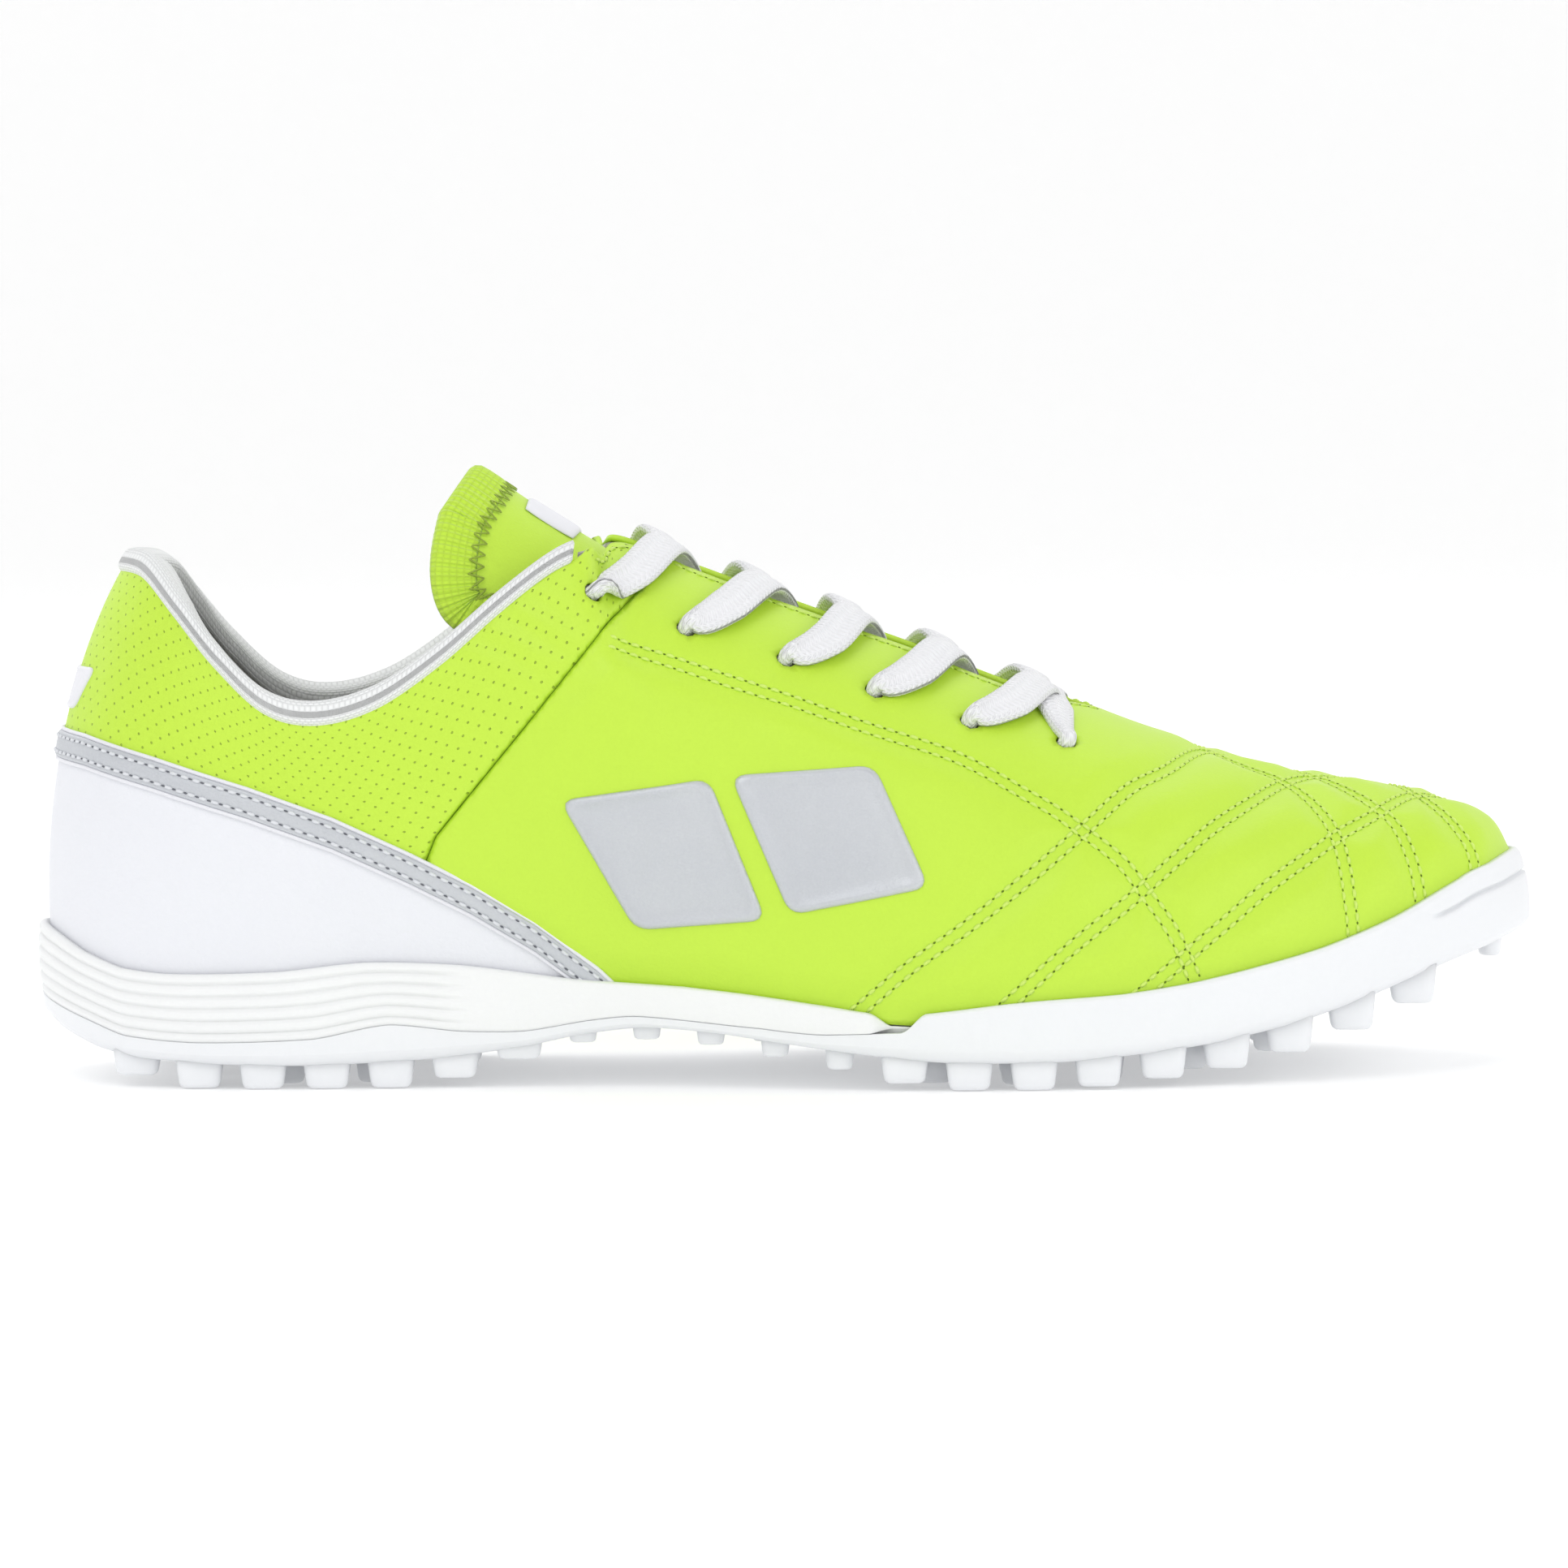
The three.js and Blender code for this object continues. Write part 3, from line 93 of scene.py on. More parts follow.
# footX, lateral, medial, topX, lateral, medial, topZ, lean, belly, tuck, crown, fall, edge
STATIONS = np.array([
    [-141.3, 0, 0, -126.4, 0, 0, 99, 8, 0.36, 32, 0.27, 0, 1],
    [-138, -14, 13, -121.4, -11.5, 11.5, 98, 8, 0.36, 30, 0.27, 0, 1],
    [-130, -24, 22.5, -115.5, -20.5, 20, 91, 8, 0.36, 26, 0.28, 0, 1],
    [-116, -31, 29, -108, -26.5, 26, 81.5, 7, 0.36, 22, 0.3, 0, 1],
    [-98, -34, 32, -98.8, -30, 30, 72.8, 6, 0.36, 18, 0.3, 0, 1],
    [-80, -34.3, 32, -89, -32, 31.5, 70.6, 5, 0.36, 18, 0.3, 0, 1],
    [-62, -34.5, 30, -77.5, -32.5, 32.5, 73.8, 5, 0.36, 20, 0.3, 0, 1],
    [-46, -35.5, 28.8, -65.5, -32.5, 32.5, 82, 5, 0.36, 22, 0.3, 0, 1],
    [-32, -37, 28.7, -54, -31.5, 31.5, 92, 5, 0.36, 26, 0.3, 0, 1],
    [-20, -39.5, 29.8, -44.2, -29.5, 29.5, 99.4, 4, 0.36, 32, 0.3, 0, 1],
    [-10, -41.8, 31.5, -37, -25.5, 25.5, 102.6, 3, 0.37, 42, 0.3, 0, 0.985],
    [0, -44, 34, -34.5, -13, 13, 104, 2, 0.38, 62, 0.3, 0.3, 0.905],
    [9, -45.8, 36.8, -32, 0, 0, 103.8, 1, 0.38, 90, 0.3, 0.37, 0.86],
    [20, -47.3, 40.8, -16, 0, 0, 97.8, 1, 0.38, 90, 0.3, 0.37, 0.85],
    [32, -48.2, 44.6, 4, 0, 0, 90.3, 1, 0.38, 90, 0.31, 0.38, 0.85],
    [44, -48.3, 46.9, 24, 0, 0, 82.5, 1, 0.39, 90, 0.33, 0.4, 0.855],
    [57, -47.6, 47.6, 44, 0, 0, 74, 1, 0.4, 90, 0.36, 0.43, 0.87],
    [70, -45.6, 47, 61, 1, 1, 66.6, 1, 0.4, 90, 0.4, 0.38, 1],
    [84, -41.8, 44.8, 77, 2, 2, 61, 2, 0.4, 90, 0.42, 0.31, 1],
    [99, -35.8, 41, 93, 3, 3, 56.4, 3, 0.4, 90, 0.43, 0.22, 1],
    [113, -28.3, 36.3, 107, 4, 4, 54, 4, 0.4, 90, 0.43, 0.15, 1],
    [125, -20.3, 30.8, 116, 5, 5, 52.6, 4, 0.4, 90, 0.42, 0.18, 1],
    [134.5, -11.5, 23, 116, 5, 5, 52.6, 4, 0.4, 90, 0.41, 0.18, 1],
    [140.5, 6, 6, 116, 5, 5, 52.6, 4, 0.4, 90, 0.41, 0.18, 1],
])
LAST = len(STATIONS) - 1
AROUND = 2 * LAST
LATERAL_COLUMNS = [0, 1, 3, 4, 6, 7, 8, 9, 10, 11, 12]
MEDIAL_COLUMNS = [0, 2, 3, 5, 6, 7, 8, 9, 10, 11, 12]
RING = np.vstack([STATIONS[:, LATERAL_COLUMNS], STATIONS[LAST - 1:0:-1, MEDIAL_COLUMNS]])

BED = [[-142, 17.8], [-110, 17.4], [-60, 17], [-30, 16], [0, 13.6], [25, 11.8], [50, 11.8], [75, 14],
       [98, 18.6], [112, 22.6], [124, 26.6], [134, 30], [146, 33]]
RIM_TOP = [[-144, 30.5], [-138, 28.2], [-133, 25.3], [-126, 22.6], [-117, 21.7], [-97, 22.2], [-80, 23.9],
           [-62, 23.3], [-40, 20.6], [-20, 19.3], [-8, 18], [4, 16.3], [20, 14.2], [43, 16.5], [62, 17.8],
           [75, 19.6], [87, 22.1], [100, 25.3], [113, 30], [127, 36.5], [134, 39], [139, 40.4], [146, 41]]
PARTING = [[-144, 17], [-140, 15.4], [-132, 12.5], [-125, 9.8], [-112, 8.8], [-90, 9.5], [-76, 12.1],
           [-62, 10.8], [-50, 10.8], [-37, 12.9], [-28, 13.6], [-5, 11.6], [5, 10.6], [12, 10.7], [18, 10.9],
           [21.5, 11]]
PLATE = [[-144, 13], [-138, 9.5], [-132, 7], [-124, 5.4], [-108, 4.4], [-90, 4.2], [-66, 5.4], [-50, 7.6],
         [-40, 9.8], [-28, 11.2], [-15, 10.4], [-5, 9], [5, 7.6], [18, 6], [30, 5], [50, 5], [65, 6.2],
         [80, 8], [96, 11.2], [110, 15.4], [123, 20], [134, 23.5], [146, 26.5]]
LUG_TIP = [[-134, 4.6], [-123, 1.8], [-113, 0], [-75, 0], [-68, 0.8], [-59, 2.9], [-47, 6.6], [-35, 9],
           [-22, 8.7], [-10, 7.5], [0, 5.4], [12, 3.2], [24, 0.8], [32, 0], [52, 0], [65, 1.2], [81, 3],
           [96, 6.1], [110, 10.5], [123, 15.2], [134, 19.5], [142, 22]]
BAND_LINE = [[-150, 64.4], [-141, 63.9], [-133.5, 62.9], [-120, 59.3], [-102, 53.7], [-86, 48], [-72, 41.6],
             [-60, 35.6], [-48, 28.4], [-36, 19.4], [-28, 12]]
SEAM_LINE = [[-69.4, 40.2], [-66.5, 47.5], [-49.7, 67.9], [-41.3, 78.3], [-35.3, 85.6], [-27, 94.5],
             [-16, 106]]
EYELETS = [[-36.3, 93.2], [-19, 86.1], [-0.2, 80.1], [16.4, 74], [34.3, 68], [52.3, 63.2]]
REAR_BADGE = [[-43, 54.5], [-15, 58.5], [-4.5, 32], [-29, 30]]
FRONT_BADGE = [[-11, 59], [16, 60.5], [26, 38], [0, 33]]
HEEL_BADGE = [[-11, 78.5], [11, 78.5], [7.5, 70.5], [-7.5, 70.5]]
TONGUE_LINE = [[68, 55], [56, 60], [44, 66.8], [30, 73.8], [10, 81.7], [-10, 89.2], [-28, 96.2], [-41, 104.2],
               [-52, 111.2], [-60, 116.6]]

# Stitch lines of the quilting: [x, z] on one side, and how each goes on over the ridge: [x, y, z] of the far side
INSTEP_LINE = [[-33.9, 84.3], [-27.3, 81.7], [-15.6, 77.7], [-9.9, 75.8], [2.3, 71.7], [16.8, 66.5],
               [31.5, 61.5],
               [43.5, 55], [49.8, 51.4], [56.2, 46.7], [62.4, 41.7], [66.7, 36], [71, 30], [73.5, 25.1],
               [76.1, 18.8]]
DIAGONALS = [
    ([[11.5, 14], [22, 22.9], [32.6, 30.3], [43.3, 38.4], [54.9, 47.6], [64.7, 55.1], [71.4, 57.7]],
     [[83, 3, 59.2], [93.1, 8, 55.8], [97.5, 13, 54], [101.5, 19, 51], [104.3, 25, 46.8], [105.8, 30, 41.5],
      [106.6, 33, 35.2], [107, 34, 26]]),
    ([[38, 14], [53.8, 27.5], [64.8, 35.8], [72.7, 42.2], [79.4, 47.2], [87.6, 51.6]],
     [[99, -3, 55.6], [111.3, 12, 53.2], [116.4, 18, 50.4], [119.7, 24, 45.2], [121.4, 27, 40.4],
      [122, 28, 33]]),
    ([[64, 16.5], [73.5, 24], [81.2, 30], [90.4, 37], [98.6, 42], [105.4, 45.9], [111.6, 48.5]],
     [[120, -1, 51.5], [128.9, 11, 48.7], [132.8, 16, 43.7], [134, 19, 38]]),
]
TOE_GROOVE = [[121, 30], [130, 33.6], [139, 36.2], [146, 37.4]]


# ---------------------------------------------------------------- small maths
def lerp(a, b, t):
    """Value at share t between a and b."""
    return a + (b - a) * t


def smooth(a, b, x):
    """Eased step from 0 at a to 1 at b."""
    t = np.clip((np.asarray(x, float) - a) / (b - a), 0, 1)
    return t * t * (3 - 2 * t)


def unit(v):
    v = np.asarray(v, float)
    return v / np.maximum(np.linalg.norm(v, axis=-1, keepdims=True), 1e-9)


def cubic_through(a, b, c, d, t):
    return b + 0.5 * t * (c - a + t * (2 * a - 5 * b + 4 * c - d + t * (3 * (b - c) + d - a)))


def height_at(profile, x):
    """Height of a profile at x: the CAD's mix of straight and rounded."""
    xs, zs = np.array(profile, float).T
    x = np.clip(np.asarray(x, float), xs[0], xs[-1])
    i = np.clip(np.searchsorted(xs, x, side="right"), 1, len(xs) - 1)
    t = (x - xs[i - 1]) / (xs[i] - xs[i - 1])
    before, z0, z1, after = zs[np.maximum(i - 2, 0)], zs[i - 1], zs[i], zs[np.minimum(i + 1, len(xs) - 1)]
    return lerp(lerp(z0, z1, t), cubic_through(before, z0, z1, after, t), 0.7)


def centripetal(points, per_segment):
    """Points of a centripetal Catmull-Rom curve, per_segment to each span."""
    p = np.asarray(points, float)
    p = np.vstack([2 * p[0] - p[1], p, 2 * p[-1] - p[-2]])
    made = []
    for i in range(1, len(p) - 2):
        a, b, c, d = p[i - 1:i + 3]
        t0, t1, t2 = (max(np.linalg.norm(q - r), 1e-6) ** 0.5 for q, r in ((b, a), (c, b), (d, c)))
        m1 = ((b - a) / t0 - (c - a) / (t0 + t1) + (c - b) / t1) * t1
        m2 = ((c - b) / t1 - (d - b) / (t1 + t2) + (d - c) / t2) * t1
        t = np.linspace(0, 1, per_segment, endpoint=False)[:, None]
        made.append((2 * t ** 3 - 3 * t ** 2 + 1) * b + (t ** 3 - 2 * t ** 2 + t) * m1
                    + (3 * t ** 2 - 2 * t ** 3) * c + (t ** 3 - t ** 2) * m2)
    return np.vstack(made + [p[-2][None]])


def lengths(points):
    """Distance along a line to each of its points."""
    return np.concatenate([[0], np.cumsum(np.linalg.norm(np.diff(points, axis=0), axis=1))])


def every(points, step):
    """The line through the points, with a point every step of its length."""
    at = lengths(points)
    places = np.linspace(0, at[-1], max(2, int(round(at[-1] / step)) + 1))
    return np.stack([np.interp(places, at, points[:, k]) for k in range(points.shape[1])], axis=1)


# ---------------------------------------------------------------- the side surface
def ring(u):
    """Station values at ring position u: heel, lateral side, toe, medial side."""
    u = np.asarray(u, float)
    k = np.floor(u).astype(int)
    return cubic_through(*(RING[(k + i) % AROUND] for i in (-1, 0, 1, 2)), (u - k)[..., None])


def folded(u):
    """Ring position counted from the heel on either side."""
    u = np.asarray(u, float) % AROUND
    return np.minimum(u, AROUND - u)


def side(u):
    """Outward direction, ridge slope, throat edge and the four control points of the side curve."""
    u = np.asarray(u, float)
    v = ring(u)
    along = unit((ring(u + 0.05) - ring(u - 0.05))[..., :2])
    out = np.stack([along[..., 1], -along[..., 0], np.zeros_like(u)], axis=-1)
    on_ridge = (folded(u) > THROAT_END - 1e-6)[..., None]
    r = ring(np.minimum(folded(u), POLE))
    top = np.where(on_ridge, r[..., 2:5], v[..., 2:5])
    fall = np.where(on_ridge[..., 0], r[..., 9], v[..., 9])
    edge = np.where(on_ridge[..., 0], 1, np.minimum(1, v[..., 10]))
    foot = np.stack([v[..., 0], v[..., 1], height_at(BED, v[..., 0]) + GAP], axis=-1)
    lean, tuck = np.radians(v[..., 5]), np.radians(v[..., 7])
    reach = np.linalg.norm(top - foot, axis=-1)[..., None]
    up = np.stack([out[..., 0] * np.sin(lean), out[..., 1] * np.sin(lean), np.cos(lean)], axis=-1)
    down = unit(np.stack([out[..., 0] * np.sin(tuck), out[..., 1] * np.sin(tuck),
                          -np.cos(tuck) - fall * out[..., 0] * np.sin(tuck)], axis=-1))
    handles = foot + up * v[..., 6, None] * reach, top + down * v[..., 8, None] * reach
    return out, fall, edge, (foot, handles[0], handles[1], top)


def bare(u, v):
    """Point of the side at share v from its foot to its top."""
    a, b, c, d = side(u)[3]
    v = np.asarray(v, float)[..., None]
    w = 1 - v
    return a * w ** 3 + 3 * b * w * w * v + 3 * c * w * v * v + d * v ** 3


def normal_at(u, v):
    """Outward normal of the side, straight up the ridge at its top."""
    u, v = np.broadcast_arrays(np.asarray(u, float), np.asarray(v, float))
    at = np.minimum(v, 0.975)
    e = 0.02
    du = bare(u + e, at) - bare(u - e, at)
    dv = bare(u, np.minimum(at + e, 0.995)) - bare(u, np.maximum(at - e, 0))
    fall = side(u)[1]
    on_top = unit(np.stack([fall, np.zeros_like(fall), np.ones_like(fall)], axis=-1))
    ridge = ((v > 0.9999) & (folded(u) > THROAT_END - 1e-6))[..., None]
    n = unit(np.cross(du, dv))
    n = np.where((n[..., 2:] < 0) & (v[..., None] > 0.8), -n, n)
    toward = smooth(0.955, 1, v)[..., None] * (folded(u) > THROAT_END + 1)[..., None]
    return np.where(ridge, on_top, unit(lerp(n, on_top, toward)))


def surface(u, v, d=0.0):
    """Point at distance d outside the side."""
    u, v = np.broadcast_arrays(np.asarray(u, float), np.asarray(v, float))
    return bare(u, v) + normal_at(u, v) * np.asarray(d, float)[..., None]


def rise_to(u, height, low=0.0, high=0.9):
    """Share v at which the side reaches the height, a number, an array or a function of x."""
    low, high = np.full(np.shape(u), low), np.full(np.shape(u), high)
    for _ in range(26):
        mid = (low + high) / 2
        p = bare(u, mid)
        wanted = height(p[..., 0]) if callable(height) else height
        under = p[..., 2] < wanted
        low, high = np.where(under, mid, low), np.where(under, high, mid)
    return (low + high) / 2


def wall_point(u, z, d):
    """Point level with the ground, d outside the side at height z."""
    return bare(u, rise_to(u, z, 0, 0.7)) + side(u)[0] * np.asarray(d, float)[..., None]


def foot_point(u, d, z):
    """Point d outside the foot line, at height z."""
    out, _, _, points = side(u)
    p = points[0] + out * np.asarray(d, float)[..., None]
    p[..., 2] = z
    return p


def foot_x(u):
    return ring(u)[..., 0]


def padding(u, v):
    """Extra depth of the padded collar."""
    f = folded(u)
    return (COLLAR_PAD * smooth(0.5, 0.68, v) * (1 - 0.45 * smooth(0.88, 1, v))
            * (1 - smooth(CORNER - 2.5, CORNER - 0.5, f)))


def lining_in(u, v):
    return LINING_OUT - padding(u, v) - LINING


def eyelet_share(place, medial):
    """Ring position and share of the side's point at an [x, z] place."""
    u, v = np.meshgrid(np.linspace(0, LAST, 93), np.linspace(0, 1, 61), indexing="ij")
    step_u, step_v = 0.25, 1 / 60
    for _ in range(7):
        p = bare(AROUND - u if medial else u, v)
        best = np.argmin((p[..., 0] - place[0]) ** 2 + (p[..., 2] - place[1]) ** 2)
        at_u, at_v = u.ravel()[best], v.ravel()[best]
        u, v = np.meshgrid(at_u + np.linspace(-1, 1, 9) * step_u,
                           np.clip(at_v + np.linspace(-1, 1, 9) * step_v, 0, 1), indexing="ij")
        step_u, step_v = step_u / 3, step_v / 3
    return (AROUND - at_u if medial else at_u), at_v


# ---------------------------------------------------------------- meshes
def grid_faces(columns, rows, wrap=False):
    """Four-sided faces of a grid of points, column by column."""
    i, j = np.meshgrid(np.arange(columns if wrap else columns - 1), np.arange(rows - 1), indexing="ij")
    a, b = i * rows + j, ((i + 1) % columns) * rows + j
    return np.stack([a, b, b + 1, a + 1], axis=-1).reshape(-1, 4)


def weld(points, faces):
    """Points closer than a micrometre joined, and faces that lose a side dropped or made triangles."""
    _, first, back = np.unique(np.round(points, 3), axis=0, return_index=True, return_inverse=True)
    back = back.ravel()
    made = []
    for face in faces:
        seen = []
        for k in face:
            if back[k] not in seen:
                seen.append(int(back[k]))
        if len(seen) > 2:
            made.append(seen)
    return points[first], made


def build(name, points, faces, material, uv=None, body="shoe"):
    """A mesh object from millimetre points, riding on a body."""
    mesh = bpy.data.meshes.new(name)
    world = (np.asarray(points, float) + CENTRE) * MM
    mesh.from_pydata(world.tolist(), [], [tuple(int(k) for k in f) for f in faces])
    mesh.materials.append(material)
    mesh.polygons.foreach_set("use_smooth", [True] * len(mesh.polygons))
    if uv is not None:
        layer = mesh.uv_layers.new(name="UVMap")
        corner = np.zeros(len(mesh.loops), int)
        mesh.loops.foreach_get("vertex_index", corner)
        layer.data.foreach_set("uv", np.asarray(uv, np.float32)[corner].ravel())
    mesh.update()
    obj = bpy.data.objects.new(name, mesh)
    bpy.context.scene.collection.objects.link(obj)
    if body:
        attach(obj, body)
    return obj


def thicken(obj, thickness):
    """Gives a sheet its thickness, inwards from its face."""
    solid = obj.modifiers.new("thickness", "SOLIDIFY")
    solid.thickness = thickness * MM
    solid.offset = -1.0
    solid.use_even_offset = False


def pick(points, faces, keep):
    """The faces kept, with only the points they use."""
    faces = faces[keep]
    used, back = np.unique(faces, return_inverse=True)
    return points[used], back.reshape(faces.shape), used


def tube(frames):
    """Points and faces of a closed tube through rings of points, with fan ends."""
    frames = np.asarray(frames)
    n, m = frames.shape[:2]
    points = np.vstack([frames.reshape(-1, 3), frames[0].mean(0)[None], frames[-1].mean(0)[None]])
    faces = []
    for i in range(n - 1):
        for j in range(m):
            k = (j + 1) % m
            faces.append((i * m + j, (i + 1) * m + j, (i + 1) * m + k, i * m + k))
    for j in range(m):
        k = (j + 1) % m
        faces.append((n * m, j, k))
        faces.append((n * m + 1, (n - 1) * m + k, (n - 1) * m + j))
    return points, faces


def loops_mesh(loops, across=10):
    """Closed skin over a stack of loops round the shoe, with laddered top and bottom."""
    loops = np.asarray(loops)
    k, n = loops.shape[:2]
    i, j = np.meshgrid(np.arange(k - 1), np.arange(n), indexing="ij")
    a, b = i * n + j, i * n + (j + 1) % n
    faces = np.stack([a, b, b + n, a + n], axis=-1).reshape(-1, 4).tolist()
    points = [loops.reshape(-1, 3)]
    half, count = n // 2, k * n
    share = np.linspace(0, 1, across + 1)[None, :, None]
    for loop, flip in ((loops[0], False), (loops[-1], True)):
        lateral, medial = loop[:half + 1], loop[(n - np.arange(half + 1)) % n]
        rungs = lerp(lateral[:, None], medial[:, None], share)
        made = grid_faces(half + 1, across + 1)
        faces += ((made[:, ::-1] if not flip else made) + count).tolist()
        points.append(rungs.reshape(-1, 3))
        count += rungs.shape[0] * rungs.shape[1]
    return weld(np.vstack(points), faces)


def soften(rows):
    """Rounds the corners of stacked rows by cutting them twice."""
    rows = np.asarray(rows)
    for _ in range(2):
        cut = [rows[:1]]
        for a, b in zip(rows[:-1], rows[1:]):
            cut.append(np.stack([lerp(a, b, 0.25), lerp(a, b, 0.75)]))
        rows = np.concatenate(cut + [rows[-1:]])
    return rows


def slab_mesh(outer, inner):
    """Closed sheet between two grids of points."""
    columns, rows = outer.shape[:2]
    base = columns * rows
    faces = grid_faces(columns, rows)
    made = faces.tolist() + (faces[:, ::-1] + base).tolist()
    for i in range(columns - 1):
        a, b = i * rows, (i + 1) * rows
        made.append([a, a + base, b + base, b])
        made.append([a + rows - 1, b + rows - 1, b + rows - 1 + base, a + rows - 1 + base])
    end = (columns - 1) * rows
    for j in range(rows - 1):
        made.append([j, j + 1, j + 1 + base, j + base])
        made.append([end + j, end + j + base, end + j + 1 + base, end + j + 1])
    return np.vstack([outer.reshape(-1, 3), inner.reshape(-1, 3)]), made


def beads(shapes, profile, sides, squeeze=(1.1, 0.8)):
    """Many small closed threads in one mesh. Each shape: ends, facing direction, radius; profile: [share, swell]."""
    angle = np.arange(sides) * 2 * math.pi / sides
    points, faces = [], []
    k = len(profile)
    for a, b, n, r in shapes:
        t = unit(b - a)
        across = unit(np.cross(n, t))
        start = len(points)
        for share, swell, rise in profile:
            centre = lerp(a, b, share) + n * rise * r
            for q in angle:
                points.append(centre + (across * math.cos(q) * squeeze[0] + n * math.sin(q) * squeeze[1]) * r
                              * swell)
        for i in range(k - 1):
            for j in range(sides):
                m = (j + 1) % sides
                faces.append((start + i * sides + j, start + (i + 1) * sides + j,
                              start + (i + 1) * sides + m, start + i * sides + m))
        faces.append(tuple(start + j for j in range(sides)))
        faces.append(tuple(start + (k - 1) * sides + j for j in reversed(range(sides))))
    return np.array(points), faces


THREAD = [(0, 0.35, -0.9), (0.12, 0.85, 0.1), (0.5, 1, 0.55), (0.88, 0.85, 0.1), (1, 0.35, -0.9)]
# profile of the dark beads that paint the shade in the needle holes between stitches
HOLE_SHADE_BEAD = [(0, 0.2, 0.1), (0.3, 0.95, 0.16), (0.7, 0.95, 0.16), (1, 0.2, 0.1)]


# ---------------------------------------------------------------- the upper's own surface
U_STEPS = 12
UPPER_ROWS = 84
STITCH_APART = 1.15
PUFF_REACH = 6.5
STITCH_SHARE = 0.74  # of the pitch that the thread covers
STITCH_RADIUS = 0.34
HOLE_SHARE = 0.75  # of the thread's radius
THROAT_ROW = 2.2  # distance of the stitched row from the throat edge
RELAX_REACH = 9.0  # how far from the ridge's front end the grid is relaxed
RELAX_TIMES = 60
SEAM_LAP = 0.3  # how far the vamp stands over the ankle quarter at the seam
SEAM_LAP_REACH = 6
CREASE = 0.9  # depth of the ankle seam's crease
CREASE_REACH = 1.1
EYELET_HOLE = 2.05


def band_height(x):
    xs, zs = np.array(BAND_LINE).T
    return np.where(np.asarray(x) > xs[-1], -60, np.interp(x, xs, zs))


def seam_x(z):
    xs, zs = np.array(SEAM_LINE).T
    return np.interp(z, zs, xs)


def instep_height(x):
    xs, zs = np.array(INSTEP_LINE).T
    return np.interp(x, xs, zs)


def top_share(u):
    edge = side(u)[2]
    return lerp(COLLAR_TOP, edge, smooth(CORNER - 0.5, CORNER + 0.3, folded(u)))


def arc_uv(u, v):
    """Millimetres round the shoe and up its side, as UV."""
    ring_u = np.linspace(0, AROUND, 461)
    along = lengths(bare(ring_u, np.full(461, 0.55)))
    return np.stack([np.interp(u, ring_u, along), v * 88], axis=-1) * MM


